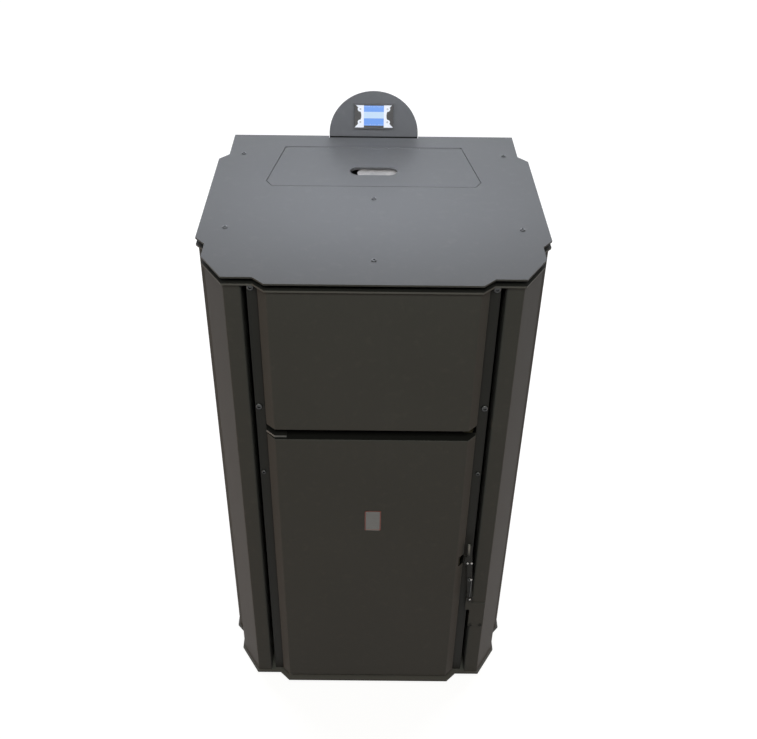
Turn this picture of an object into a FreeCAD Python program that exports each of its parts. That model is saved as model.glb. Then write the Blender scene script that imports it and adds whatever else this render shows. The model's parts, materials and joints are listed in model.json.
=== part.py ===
import FreeCAD, Part
import math
import os
import types

import Sketcher

# Pellet boiler in millimetres: a sheet-metal cabinet around a hopper, a feed auger, a burner, a welded
# boiler vessel and a flue fan. The front faces -Y, +X is right and +Z is up. Pieces are drawn with
# y = 0 at the front edge of the casing and z = 0 on the floor, and their placement then moves them
# forward, so that the origin lies on the floor under the middle of the whole boiler.

DIMENSIONS = {
    # Outline that the base plate, the top frame and the top cover share
    "casing_width": 600.0,
    "casing_depth": 575.0,
    "casing_height": 1018.0,
    "foot_height": 22.0,
    "front_face_width": 345.0,
    "front_bump": 20.0,
    "corner_end": 83.5,
    "side_recess": 18.0,
    "side_bump_start": 124.5,
    "side_bump_rear": 95.0,
    "side_bevel": 21.5,
    # Plates and sheets
    "base_thickness": 4.0,
    "frame_thickness": 3.5,
    "cover_gap": 9.5,
    "cover_thickness": 3.0,
    "sheet": 1.5,
    "panel_inset": 4.0,
    "bend_radius": 1.5,
    # Levelling feet
    "foot_side_inset": 82.0,
    "foot_front": 110.0,
    "foot_rear_inset": 75.0,
    "foot_pad_radius": 22.0,
    "foot_pad_height": 6.0,
    "foot_collar_radius": 9.0,
    "foot_stem_radius": 5.0,
    "foot_stem_above_nut": 6.0,
    "foot_nut_height": 8.0,
    "foot_nut_radius": 9.8,
    "stem_clearance": 0.2,
    # Corner posts, side panels and rear panel
    "post_gap": 8.0,
    "post_width": 30.5,
    "post_return": 40.0,
    "panel_lap": 16.0,
    "panel_seam": 2.0,
    # Front uprights beside the panels
    "upright_gap": 1.5,
    "upright_width": 17.0,
    "upright_front": 30.0,
    "upright_web_depth": 50.0,
    "upright_sheet": 2.0,
    "channel_screw_inset": 10.5,
    "channel_screw_drop_top": 24.0,
    "channel_screw_drop_middle": 269.0,
    "channel_screw_drop_low": 424.5,
    "channel_screw_head_radius": 6.5,
    "channel_screw_head": 3.0,
    "channel_screw_radius": 2.4,
    # Bevelled trays: upper front panel and door
    "tray_side_gap": 2.5,
    "tray_bevel": 15.5,
    "tray_rim": 28.0,
    "tray_sheet": 2.0,
    "tray_edge_radius": 1.7,
    "upper_panel_drop": 301.5,
    "door_gap": 22.0,
    "door_bottom": 38.0,
    "rail_height": 30.0,
    "rail_lift": 4.0,
    "vessel_clearance": 3.0,
    # Top cover screws
    "cover_screw_side_inset": 27.5,
    "cover_screw_side_front": 182.0,
    "cover_screw_rear_inset": 92.0,
    "cover_screw_middle_front": 74.5,
    "cover_screw_before_lid": 51.5,
    "cover_screw_radius": 2.5,
    "cover_screw_head_radius": 4.6,
    "cover_screw_head": 2.2,
    "screw_clearance": 0.15,
    "spacer_radius": 8.0,
    "inspection_half": 145.0,
    "inspection_front": 95.0,
    "inspection_before_lid": 73.0,
    # Hopper lid and its piano hinge; depths in the rear bay count from the back of the vessel
    "lid_front": 15.0,
    "lid_front_half": 188.0,
    "lid_corner": 34.0,
    "lid_corner_half": 199.0,
    "lid_rear_half": 174.5,
    "lid_gap": 1.5,
    "hinge_y": 187.0,
    "hinge_setback": 3.0,
    "hinge_rear_gap": 3.4,
    "knuckle_radius": 2.4,
    "hinge_pin_radius": 1.2,
    "running_clearance": 0.05,
    "leaf_thickness": 1.2,
    "leaf_width": 12.0,
    "leaf_half_length": 171.0,
    "knuckle_inner": 30.0,
    "knuckle_outer": 90.0,
    "knuckle_gap": 0.6,
    "slot_length": 90.0,
    "slot_width": 36.0,
    "slot_y": 80.0,
    "cup_margin": 12.0,
    "cup_depth": 2.8,
    "cup_wall": 1.2,
    "cup_shift": 14.0,
    "mouth_half": 154.0,
    "mouth_front": 44.0,
    "mouth_rear": 158.0,
    "seal_margin": 4.0,
    "seal_width": 7.0,
    "seal_gap": 0.3,
    # Control panel and display
    "control_radius": 89.5,
    "control_rise": 95.0,
    "control_thickness": 2.0,
    "control_tail": 70.0,
    "control_clearance": 1.0,
    "control_gap": 5.0,
    "display_width": 82.0,
    "display_height": 52.0,
    "display_lift": 18.0,
    "display_proud": 3.0,
    "bezel_width": 2.5,
    "screen_sink": 1.2,
    "screen_ledge": 0.8,
    "screen_clearance": 0.2,
    "display_neck_inset": 6.0,
    "display_box_depth": 20.0,
    "display_box_margin": 4.0,
    # Door, its pivots and its fire side
    "pivot_inset": 17.5,
    "pivot_y": 18.0,
    "pivot_radius": 4.0,
    "pivot_hole_radius": 6.5,
    "pivot_play": 0.5,
    "hinge_plate_thickness": 8.0,
    "hinge_plate_reach": 18.0,
    "hinge_plate_fit": 0.5,
    "bracket_gap": 1.0,
    "bracket_thickness": 4.0,
    "bracket_front": 9.0,
    "boss_radius": 6.5,
    "fire_side_half": 150.0,
    "fire_side_low": 86.0,
    "fire_side_high": 586.0,
    "insulation_depth": 28.0,
    "inner_plate_thickness": 3.0,
    "rope_width": 12.0,
    "rope_depth": 8.0,
    "rope_inset": 8.0,
    "rope_gap": 0.3,
    "notch_clearance": 3.0,
    "notch_depth": 10.5,
    # Door latch
    "latch_pivot_gap": 6.4,
    "latch_pivot_z": 283.5,
    "latch_plate_low": 185.0,
    "latch_plate_high": 259.0,
    "latch_plate_reach": 3.0,
    "latch_plate_width": 31.0,
    "latch_ear_half": 6.0,
    "latch_ear_above": 9.0,
    "latch_ear_lap": 20.0,
    "latch_plate_thickness": 3.0,
    "lever_length": 157.0,
    "lever_lean": 11.0,
    "lever_width": 10.0,
    "lever_thickness": 4.0,
    "lever_boss_radius": 7.0,
    "nose_low": 387.0,
    "nose_high": 407.0,
    "nose_gap": 2.3,
    "latch_collar": 4.0,
    "latch_play": 0.3,
    "latch_bolt_radius": 3.0,
    "latch_head_radius": 4.5,
    "latch_head": 3.0,
    "latch_pin_radius": 3.2,
    "latch_pin_head": 2.5,
    "roller_low": 391.0,
    "roller_far": 12.0,
    "roller_near": 4.2,
    "anchor_rise": 59.5,
    "anchor_shift": 1.5,
    "latch_wire_width": 2.0,
    # Boiler vessel
    "vessel_half": 165.0,
    "rear_bay": 245.0,
    "vessel_bottom": 70.0,
    "vessel_drop": 180.0,
    "vessel_plate": 4.0,
    "firebox_half": 125.0,
    "firebox_step": 8.0,
    "flue_bay": 110.0,
    "firebox_bottom": 110.0,
    "mouth_top": 560.0,
    "tube_radius": 22.0,
    "tube_wall": 3.0,
    "tube_fit": 0.2,
    "tube_near_half": 62.0,
    "tube_far_half": 112.0,
    "tube_first_row": 31.0,
    "tube_row_step": 48.0,
    "collector_half": 140.0,
    "collector_gap": 6.0,
    "collector_bottom": 84.0,
    "collector_top": 150.0,
    "smoke_box_height": 60.0,
    "smoke_box_half": 142.0,
    "smoke_cover_thickness": 6.0,
    "smoke_cover_lap": 6.0,
    "cover_handle_half": 45.0,
    "cover_handle_rise": 28.0,
    "cover_handle_bar": 8.0,
    "strip_thickness": 2.0,
    "strip_play": 0.3,
    "strip_length": 640.0,
    "strip_turns": 2.0,
    "wool_gap": 2.0,
    "rail_half_gap": 100.0,
    "rail_width": 30.0,
    "rail_wall": 2.5,
    # Burner and ash
    "shelf_z": 186.0,
    "shelf_thickness": 4.0,
    "shelf_play": 0.5,
    "shelf_setback": 18.7,
    "pot_half": 46.0,
    "pot_front_gap": 44.7,
    "pot_rear_gap": 26.0,
    "pot_fit": 1.0,
    "pot_neck": 12.0,
    "pot_rise": 55.0,
    "pot_flare": 10.0,
    "pot_rim": 6.0,
    "pot_wall": 4.0,
    "grate_hole_radius": 3.5,
    "grate_hole_step": 16.0,
    "grate_margin": 9.0,
    "drawer_half": 108.0,
    "drawer_setback": 16.7,
    "drawer_gap": 8.0,
    "drawer_height": 58.0,
    "drawer_sheet": 1.5,
    "drawer_handle_half": 40.0,
    "drawer_handle_reach": 12.0,
    "drawer_handle_drop": 14.0,
    "igniter_z": 218.0,
    "igniter_radius": 6.0,
    "igniter_sleeve_radius": 9.0,
    "igniter_reach": 10.0,
    "igniter_tail": 22.0,
    # Pellet feed
    "auger_z": 470.0,
    "auger_tube_radius": 34.0,
    "auger_tube_wall": 2.5,
    "auger_front": 8.0,
    "auger_rear": 175.0,
    "auger_end_wall": 4.0,
    "auger_flight_radius": 28.5,
    "auger_flight_thickness": 3.0,
    "auger_pitch": 45.0,
    "auger_shaft_radius": 8.0,
    "auger_end_gap": 5.0,
    "auger_flange": 4.0,
    "auger_shaft_engage": 14.0,
    "inlet_half": 26.0,
    "inlet_front": 75.0,
    "inlet_rear": 165.0,
    "outlet_front": 16.0,
    "outlet_rear": 59.0,
    "collar_wall": 4.0,
    "collar_rise": 36.0,
    "outlet_drop": 38.0,
    "gearbox_half": 38.0,
    "gearbox_depth": 30.0,
    "gearbox_above": 45.0,
    "motor_radius": 30.0,
    "motor_depth": 26.0,
    "motor_drop": 12.0,
    "chute_sheet": 3.0,
    "chute_fit": 0.5,
    "chute_reach": 8.0,
    "chute_knee": 22.0,
    "chute_fall": 160.0,
    "chute_throat": 66.0,
    "hopper_half": 190.0,
    "hopper_front": 22.0,
    "hopper_rear": 226.0,
    "hopper_sheet": 1.5,
    "hopper_shoulder": 680.0,
    "hopper_neck": 16.0,
    "control_box_side_gap": 29.0,
    "control_box_front": 55.0,
    "control_box_rear": 195.0,
    "control_box_drop": 120.0,
    "control_box_height": 160.0,
    # Flue fan
    "fan_z": 120.0,
    "fan_radius": 80.0,
    "fan_depth": 64.0,
    "fan_wall": 2.5,
    "fan_inlet_radius": 36.0,
    "outlet_left": 12.0,
    "outlet_width": 90.0,
    "outlet_top": 310.0,
    "impeller_radius": 62.0,
    "impeller_hub_radius": 14.0,
    "impeller_disc": 3.0,
    "impeller_clearance": 3.5,
    "blade_inner": 30.0,
    "blade_depth": 34.0,
    "blade_thickness": 2.0,
    "fan_shaft_radius": 4.0,
    "fan_shaft_reach": 24.0,
    "fan_shaft_hole": 6.0,
    "fan_motor_radius": 38.0,
    "fan_motor_depth": 60.0,
    "fan_motor_plate": 3.0,
    "fan_motor_plate_half": 46.0,
    "spigot_radius": 40.0,
    "spigot_wall": 2.0,
    "spigot_step": 1.0,
    "end_gap": 2.0,
    "spigot_z": 260.0,
    "spigot_projection": 60.0,
    "spigot_flange": 3.0,
    "spigot_flange_half": 45.0,
    "wall_hole_clearance": 2.0,
    # Water connections
    "pipe_x": 140.0,
    "pipe_radius": 16.6,
    "pipe_wall": 3.2,
    "pipe_step": 0.6,
    "flow_z": 460.0,
    "return_z": 110.0,
    "pipe_projection": 32.0,
    # Mains inlet with rocker switch
    "inlet_side_inset": 92.0,
    "inlet_z": 330.0,
    "inlet_flange_half": 30.0,
    "inlet_flange_rise": 15.0,
    "inlet_flange": 3.0,
    "inlet_body_half": 26.0,
    "inlet_body_rise": 12.0,
    "inlet_body_depth": 22.0,
    "socket_left": -23.0,
    "socket_right": -1.0,
    "socket_rise": 8.0,
    "socket_depth": 14.0,
    "contact_pitch": 7.0,
    "contact_width": 2.0,
    "contact_height": 4.0,
    "contact_length": 11.0,
    "earth_offset": 3.0,
    "switch_left": 6.0,
    "switch_right": 21.0,
    "switch_rise": 10.5,
    "switch_depth": 9.0,
    "rocker_play": 0.5,
    "rocker_rise": 9.0,
    "rocker_top": 3.2,
    "rocker_dip": 1.6,
    "rocker_root": 5.0,
}

LID_GAP_SHARE = 0.4
HEX_SIDES = 6
BLADE_COUNT = 10
FLIGHT_STEPS = 20
STRIP_STEPS = 8
ROCKER_TILT = 8.0

os.makedirs("parts", exist_ok=True)
doc = FreeCAD.newDocument("pellet_boiler")
sheet = doc.addObject("Spreadsheet::Sheet", "sheet")
for row, (alias, value) in enumerate(DIMENSIONS.items(), 1):
    sheet.set(f"A{row}", alias)
    sheet.set(f"B{row}", str(value))
    sheet.setAlias(f"B{row}", alias)
doc.recompute()


# Sizes that carry their own sheet expression


class Size:
    """A number together with the sheet expression that gives it."""

    def __init__(self, number, text):
        self.number = number
        self.text = text

    def __add__(self, other):
        other = as_size(other)
        return Size(self.number + other.number, f"({self.text} + {other.text})")

    def __sub__(self, other):
        other = as_size(other)
        return Size(self.number - other.number, f"({self.text} - {other.text})")

    def __mul__(self, factor):
        factor = as_size(factor)
        return Size(self.number * factor.number, f"({self.text} * {factor.text})")

    def __truediv__(self, divisor):
        divisor = as_size(divisor)
        return Size(self.number / divisor.number, f"({self.text} / {divisor.text})")

    def __neg__(self):
        return Size(-self.number, f"(-{self.text})")

    def __radd__(self, other):
        return as_size(other) + self

    def __rsub__(self, other):
        return as_size(other) - self

    def __rmul__(self, factor):
        return as_size(factor) * self


def as_size(value):
    """Turns a plain number into a size."""
    if isinstance(value, Size):
        return value
    return Size(value, f"({value})")


def half_bend(rise, run):
    """The tangent of half the angle of a run that rises."""
    number = math.tan(math.atan2(rise.number, run.number) / 2)
    return Size(number, f"tan(atan2({rise.text}; {run.text}) / 2)")


s = types.SimpleNamespace(**{name: Size(value, "sheet." + name) for name, value in DIMENSIONS.items()})


# Paths and outlines in a plane


def rect(left, low, right, high):
    """A rectangle's corners."""
    return [(left, low), (right, low), (right, high), (left, high)]


def circle(across, up, radius):
    """A circle, which a sketch draws as one loop."""
    return {"centre": (across, up), "radius": radius}


def mirrored(points):
    """The same points on the other side of x = 0, in the opposite order."""
    return [(-as_size(across), up) for across, up in reversed(points)]


def both_sides(half):
    """A full outline from its right half."""
    return half + mirrored(half)


def on_both(half, up):
    """Two places, right and left of x = 0."""
    return [(half, up), (-half, up)]


def direction(step):
    """The unit direction of a step along X or Y, or None for a slanted step."""
    across, up = step
    if abs(across.number) < 1e-9:
        return (0, math.copysign(1, up.number))
    if abs(up.number) < 1e-9:
        return (math.copysign(1, across.number), 0)
    return None


def shifted(point, unit, left, ahead):
    """Moves a point to the left of a unit direction, and ahead along it."""
    across, up = as_size(point[0]), as_size(point[1])
    if unit[0]:
        return (across + ahead * unit[0], up + left * unit[0])
    return (across - left * unit[1], up + ahead * unit[1])


def offset_path(points, distance):
    """Moves a path to its left. At each corner, one of the two runs lies along X or Y."""
    moved = []
    steps = []
    for start, end in zip(points, points[1:]):
        steps.append((as_size(end[0]) - start[0], as_size(end[1]) - start[1]))
    for index, corner in enumerate(points):
        if index in (0, len(steps)):
            unit = direction(steps[min(index, len(steps) - 1)])
            moved.append(shifted(corner, unit, distance, as_size(0)))
            continue
        before, after = steps[index - 1], steps[index]
        unit = direction(before)
        if unit:
            rise = after[1] * unit[0] - after[0] * unit[1]
            run = after[0] * unit[0] + after[1] * unit[1]
            moved.append(shifted(corner, unit, distance, -(distance * half_bend(rise, run))))
            continue
        unit = direction(after)
        rise = before[0] * unit[1] - before[1] * unit[0]
        run = before[0] * unit[0] + before[1] * unit[1]
        moved.append(shifted(corner, unit, distance, distance * half_bend(rise, run)))
    return moved


def folded(points, thickness):
    """The section of a folded sheet that lies on the left of a path."""
    return points + offset_path(points, thickness)[::-1]


def hexagon(across, up, radius):
    """A nut's outline."""
    corners = []
    for index in range(HEX_SIDES):
        angle = 2 * math.pi * index / HEX_SIDES
        corners.append((across + radius * math.cos(angle), up + radius * math.sin(angle)))
    return corners


def turned(points, degrees):
    """Points turned about the origin."""
    cosine, sine = math.cos(math.radians(degrees)), math.sin(math.radians(degrees))
    return [(a * cosine - b * sine, a * sine + b * cosine) for a, b in points]


# Bodies, sketches and features

PLANES = {"XY": ("XY_Plane", 1), "XZ": ("XZ_Plane", -1), "YZ": ("YZ_Plane", 1)}
NODES = []
front_shift = -(s.casing_depth + s.spigot_projection) / 2


def place(node, x=0, y=0, z=0):
    """Puts a sub-part at its place, with y counted from the front edge of the casing."""
    base = [as_size(x), front_shift + y, as_size(z)]
    node.Placement = FreeCAD.Placement(FreeCAD.Vector(*[size.number for size in base]), FreeCAD.Rotation())
    for letter, size in zip("xyz", base):
        node.setExpression(f"Placement.Base.{letter}", size.text)
    NODES.append(node)


def new_body(name, **where):
    """A body for one sub-part; a group of like solids shares one body."""
    body = doc.addObject("PartDesign::Body", name)
    body.Label = name
    body.AllowCompound = True
    place(body, **where)
    return body


def origin_feature(body, role):
    """One of the body's own origin planes or axes."""
    return [feature for feature in body.Origin.OriginFeatures if feature.Role == role][0]


def draw_circle(sketch, loop):
    """Draws a circle and binds its centre and radius."""
    across, up = as_size(loop["centre"][0]), as_size(loop["centre"][1])
    radius = as_size(loop["radius"])
    centre = FreeCAD.Vector(across.number, up.number, 0)
    index = sketch.addGeometry(Part.Circle(centre, FreeCAD.Vector(0, 0, 1), radius.number), False)
    first = sketch.ConstraintCount
    sketch.addConstraint([
        Sketcher.Constraint("DistanceX", -1, 1, index, 3, across.number),
        Sketcher.Constraint("DistanceY", -1, 1, index, 3, up.number),
        Sketcher.Constraint("Radius", index, radius.number),
    ])
    for offset, size in enumerate((across, up, radius)):
        sketch.setExpression(f"Constraints[{first + offset}]", size.text)


def draw_polygon(sketch, points):
    """Draws a closed outline and binds both coordinates of every corner."""
    corners = [(as_size(across), as_size(up)) for across, up in points]
    vectors = [FreeCAD.Vector(across.number, up.number, 0) for across, up in corners]
    count = len(vectors)
    first_line = sketch.GeometryCount
    sketch.addGeometry([Part.LineSegment(vectors[i], vectors[(i + 1) % count]) for i in range(count)], False)
    first = sketch.ConstraintCount + count
    joins = []
    places = []
    for index in range(count):
        line = first_line + index
        joins.append(Sketcher.Constraint("Coincident", line, 2, first_line + (index + 1) % count, 1))
        places.append(Sketcher.Constraint("DistanceX", -1, 1, line, 1, vectors[index].x))
        places.append(Sketcher.Constraint("DistanceY", -1, 1, line, 1, vectors[index].y))
    sketch.addConstraint(joins + places)
    for index, (across, up) in enumerate(corners):
        sketch.setExpression(f"Constraints[{first + 2 * index}]", across.text)
        sketch.setExpression(f"Constraints[{first + 2 * index + 1}]", up.text)


def sketch_on(body, plane, level, loops):
    """A sketch on a plane of the body's origin, moved to a level along that plane's axis."""
    role, sign = PLANES[plane]
    sketch = body.newObject("Sketcher::SketchObject", body.Name + "_sketch")
    sketch.AttachmentSupport = [(origin_feature(body, role), "")]
    sketch.MapMode = "FlatFace"
    height = as_size(level) * sign
    sketch.AttachmentOffset = FreeCAD.Placement(FreeCAD.Vector(0, 0, height.number), FreeCAD.Rotation())
    sketch.setExpression("AttachmentOffset.Base.z", height.text)
    for loop in loops:
        if isinstance(loop, dict):
            draw_circle(sketch, loop)
        else:
            draw_polygon(sketch, loop)
    return sketch


def feature_between(kind, body, plane, start, low, high, loops):
    """A pad or pocket between two levels along the plane's axis."""
    sketch = sketch_on(body, plane, start, loops)
    feature = body.newObject("PartDesign::" + kind, body.Name + "_" + kind.lower())
    feature.Profile = sketch
    length = as_size(high) - low
    feature.Length = length.number
    feature.setExpression("Length", length.text)
    return feature


def pad(body, plane, low, high, *loops):
    """Adds material between two levels."""
    feature = feature_between("Pad", body, plane, low, low, high, loops)
    feature.Reversed = plane == "XZ"
    return feature


def pocket(body, plane, low, high, *loops):
    """Removes material between two levels."""
    start = low if plane == "XZ" else high
    return feature_between("Pocket", body, plane, start, low, high, loops)


def loft(kind, body, low, low_loop, high, high_loop):
    """An additive or subtractive loft between two level outlines."""
    feature = body.newObject("PartDesign::" + kind, body.Name + "_loft")
    feature.Profile = sketch_on(body, "XY", low, [low_loop])
    feature.Sections = [sketch_on(body, "XY", high, [high_loop])]
    feature.Ruled = True
    return feature


def faceted_sweep(sections):
    """A solid of flat triangles through a row of four-cornered sections."""
    faces = []
    for corners in (sections[0], sections[-1]):
        faces.append(Part.Face(Part.makePolygon(corners + corners[:1])))
    for start, end in zip(sections, sections[1:]):
        for index in range(len(start)):
            following = (index + 1) % len(start)
            near, far = (index, following) if index < 2 else (following, index)
            for third in (start[far], end[near]):
                faces.append(Part.Face(Part.makePolygon([start[near], third, end[far], start[near]])))
    shell = Part.makeShell(faces)
    solid = Part.Solid(shell)
    solid.fix(1e-6, 1e-6, 1e-6)
    return solid


def round_edges(body, radius, chosen):
    """Rounds the edges of a body that a test picks."""
    doc.recompute()
    base = body.Tip
    names = [f"Edge{index}" for index, edge in enumerate(base.Shape.Edges, 1) if chosen(edge)]
    feature = body.newObject("PartDesign::Fillet", body.Name + "_bends")
    feature.Base = (base, names)
    feature.Radius = radius.number
    feature.setExpression("Radius", radius.text)


def upright_at(corners):
    """A test for upright edges that stand on one of the given corners."""
    spots = [(as_size(across).number, as_size(up).number) for across, up in corners]

    def on_a_spot(point):
        return any(math.dist((point.x, point.y), spot) < 1e-4 for spot in spots)

    def chosen(edge):
        ends = [vertex.Point for vertex in edge.Vertexes]
        if len(ends) < 2 or abs(ends[0].z - ends[1].z) < 1e-6:
            return False
        return all(on_a_spot(end) for end in ends)

    return chosen


def round_folds(body, path, thickness, flip=1):
    """Rounds a folded sheet: each fold has one radius inside and a larger one outside."""
    inside, outside = [], []
    moved = offset_path(path, thickness)
    for before, corner, after, other in zip(path, path[1:], path[2:], moved[1:]):
        ax, ay = (as_size(corner[i]).number - as_size(before[i]).number for i in (0, 1))
        bx, by = (as_size(after[i]).number - as_size(corner[i]).number for i in (0, 1))
        turns_left = ax * by - ay * bx > 0
        near, far = (other, corner) if turns_left else (corner, other)
        inside.append((as_size(near[0]) * flip, near[1]))
        outside.append((as_size(far[0]) * flip, far[1]))
    round_edges(body, s.bend_radius, upright_at(inside))
    round_edges(body, s.bend_radius + thickness, upright_at(outside))


# Levels and places that several pieces share

half_width = s.casing_width / 2
recess_half = half_width - s.side_recess
face_half = s.front_face_width / 2
tray_face_half = face_half - s.tray_side_gap
tray_half = tray_face_half + s.tray_bevel
upright_inner = tray_half + s.upright_gap
upright_edge = upright_inner + s.upright_width
post_inner = upright_edge + s.post_gap
corner_front = post_inner + s.post_width
base_top = s.foot_height + s.base_thickness
cover_top = s.foot_height + s.casing_height
cover_bottom = cover_top - s.cover_thickness
frame_top = cover_bottom - s.cover_gap
frame_bottom = frame_top - s.frame_thickness
shell_side = recess_half - s.panel_inset
shell_back = s.casing_depth - s.panel_inset
post_front = s.front_bump + s.panel_inset
panel_bottom = cover_top - s.upper_panel_drop
door_top = panel_bottom - s.door_gap
pivot_half = tray_half - s.pivot_inset
hinge_z = cover_bottom + s.cover_thickness - s.knuckle_radius
rope_front = s.panel_inset + s.tray_sheet + s.insulation_depth + s.inner_plate_thickness
vessel_front = rope_front + s.rope_depth + s.rope_gap
vessel_back = s.casing_depth - s.rear_bay
vessel_top = cover_top - s.vessel_drop
firebox_back = vessel_back - s.flue_bay
cavity_front = vessel_front + s.firebox_step + s.vessel_plate
cavity_back = firebox_back - s.vessel_plate
smoke_top = vessel_top + s.smoke_box_height
fan_rear = vessel_back + s.fan_depth
side_bump_end = s.casing_depth - s.side_bump_rear
inlet_x = s.inlet_side_inset - recess_half
latch_x = post_inner - s.latch_pivot_gap
lever_back = post_front - s.latch_plate_thickness - s.latch_collar - s.latch_play
lever_front = lever_back - s.lever_thickness

# Depths in the rear bay, counted from the front edge of the casing
BAY_DEPTHS = (
    "lid_front",
    "lid_corner",
    "slot_y",
    "mouth_front",
    "mouth_rear",
    "hinge_y",
    "auger_front",
    "auger_rear",
    "inlet_front",
    "inlet_rear",
    "outlet_front",
    "outlet_rear",
    "hopper_front",
    "hopper_rear",
    "control_box_front",
    "control_box_rear",
)
bay = types.SimpleNamespace(**{name: vessel_back + getattr(s, name) for name in BAY_DEPTHS})

plate_corner = [
    (corner_front, s.front_bump),
    (recess_half, s.corner_end),
]
plate_front = [
    (face_half, as_size(0)),
    (face_half + s.front_bump, s.front_bump),
]
side_bump = [
    (recess_half, s.side_bump_start),
    (half_width, s.side_bump_start + s.side_bevel),
    (half_width, side_bump_end - s.side_bevel),
    (recess_half, side_bump_end),
]
plate_rear = [(recess_half, s.casing_depth)]
control_notch = [
    (s.control_radius + s.control_clearance, s.casing_depth),
    (s.control_radius + s.control_clearance, shell_back - s.control_gap),
]
plate_half = plate_front + plate_corner + side_bump + plate_rear

cover_screw_half = recess_half - s.cover_screw_side_inset
cover_screw_places = (
    on_both(cover_screw_half, s.cover_screw_side_front)
    + on_both(cover_screw_half, s.casing_depth - s.cover_screw_rear_inset)
    + [(0, s.cover_screw_middle_front), (0, bay.lid_front - s.cover_screw_before_lid)]
)
foot_half_span = recess_half - s.foot_side_inset
foot_places = on_both(foot_half_span, s.foot_front)
foot_places += on_both(foot_half_span, s.casing_depth - s.foot_rear_inset)
tube_places = []
first_row = firebox_back + s.tube_first_row
for tube_half in (s.tube_near_half, s.tube_far_half):
    for tube_row in (first_row, first_row + s.tube_row_step):
        tube_places += on_both(tube_half, tube_row)


def circles(places, radius):
    """Equal circles at several places."""
    return [circle(across, up, radius) for across, up in places]


# Cabinet: plates, feet and rails


def build_base():
    """The base plate, its levelling feet with their lock nuts, and the rails that carry the vessel."""
    base = new_body("base_plate")
    holes = circles(foot_places, s.foot_stem_radius + s.stem_clearance)
    pad(base, "XY", s.foot_height, base_top, both_sides(plate_half), *holes)

    feet = new_body("levelling_feet")
    stem_top = base_top + s.foot_nut_height + s.foot_stem_above_nut
    pad(feet, "XY", 0, s.foot_pad_height, *circles(foot_places, s.foot_pad_radius))
    pad(feet, "XY", s.foot_pad_height, s.foot_height, *circles(foot_places, s.foot_collar_radius))
    pad(feet, "XY", s.foot_height, stem_top, *circles(foot_places, s.foot_stem_radius))

    outlines = [hexagon(across, up, s.foot_nut_radius) for across, up in foot_places]
    pad(feet, "XY", base_top, base_top + s.foot_nut_height, *outlines, *holes)

    rails = new_body("boiler_rails")
    left, right = s.rail_half_gap, s.rail_half_gap + s.rail_width
    outer = rect(left, base_top, right, s.vessel_bottom)
    wall = s.rail_wall
    inner = rect(left + wall, base_top + wall, right - wall, s.vessel_bottom - wall)
    loops = [outer, inner, mirrored(outer), mirrored(inner)]
    pad(rails, "XZ", vessel_front, vessel_back, *loops)


def build_corner_posts():
    """Folded posts that follow the cut front corners, and the uprights inside them."""
    corner = offset_path(
        [(post_inner, s.front_bump)] + plate_corner + [(recess_half, s.side_bump_start)], s.panel_inset
    )
    path = [(post_inner, post_front + s.post_return), (post_inner, post_front)]
    path = path + corner[1:3] + [(shell_side, s.side_bump_start - s.panel_seam)]
    section = folded(path, s.sheet)
    upright = folded(
        [
            (upright_inner, s.upright_front + s.upright_web_depth),
            (upright_inner, s.upright_front),
            (upright_edge, s.upright_front),
        ],
        s.upright_sheet,
    )
    for side, shape, strip in (
        ("right", section, upright),
        ("left", mirrored(section), mirrored(upright)),
    ):
        post = new_body("corner_post_" + side)
        pad(post, "XY", base_top, frame_bottom, shape)
        round_folds(post, path, s.sheet, 1 if side == "right" else -1)
        pad(new_body("front_upright_" + side), "XY", base_top, frame_bottom, strip)

    screws = new_body("channel_screws")
    drops = (s.channel_screw_drop_top, s.channel_screw_drop_middle, s.channel_screw_drop_low)
    places = []
    for drop in drops:
        places += on_both(upright_inner + s.channel_screw_inset, cover_top - drop)
    tip = s.upright_front + s.upright_sheet
    head = s.upright_front - s.channel_screw_head
    pad(screws, "XZ", head, s.upright_front, *circles(places, s.channel_screw_head_radius))
    for name in ("front_upright_right", "front_upright_left"):
        side = 1 if name.endswith("right") else -1
        holes = [spot for spot in places if as_size(spot[0]).number * side > 0]
        pocket(doc.getObject(name), "XZ", s.upright_front, tip,
               *circles(holes, s.channel_screw_radius + s.screw_clearance))
    pad(screws, "XZ", s.upright_front, tip, *circles(places, s.channel_screw_radius))


def build_side_and_rear_panels():
    """Bevelled side panels, and the rear panel folded round the back corners."""
    lap_plane = shell_side - s.sheet
    bump = offset_path(
        [(recess_half, s.corner_end)] + side_bump + [(recess_half, s.casing_depth)], s.panel_inset
    )
    path = [
        (lap_plane, s.side_bump_start - s.panel_lap),
        (lap_plane, bump[1][1]),
        (half_width - s.panel_inset, bump[2][1]),
        (half_width - s.panel_inset, bump[3][1]),
        (lap_plane, bump[4][1]),
        (lap_plane, side_bump_end + s.panel_lap),
    ]
    section = folded(path, s.sheet)
    for side, shape, flip in (("right", section, 1), ("left", mirrored(section), -1)):
        panel = new_body("side_panel_" + side)
        pad(panel, "XY", base_top, frame_bottom, shape)
        round_folds(panel, path, s.sheet, flip)

    rear = new_body("rear_panel")
    right = [(shell_side, side_bump_end + s.panel_seam), (shell_side, shell_back)]
    path = right + mirrored(right)
    pad(rear, "XY", base_top, frame_bottom, folded(path, s.sheet))
    round_folds(rear, path, s.sheet)
    inner_face = shell_back - s.sheet
    spigot_x = s.outlet_left + s.outlet_width / 2
    pocket(
        rear, "XZ", inner_face, shell_back,
        circle(spigot_x, s.spigot_z, s.spigot_radius + s.wall_hole_clearance),
        *circles([(s.pipe_x, s.flow_z), (s.pipe_x, s.return_z)], s.pipe_radius + s.wall_hole_clearance),
        rect(inlet_x - s.inlet_body_half - s.rocker_play, s.inlet_z - s.inlet_body_rise - s.rocker_play,
             inlet_x + s.inlet_body_half + s.rocker_play, s.inlet_z + s.inlet_body_rise + s.rocker_play),
    )


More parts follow.
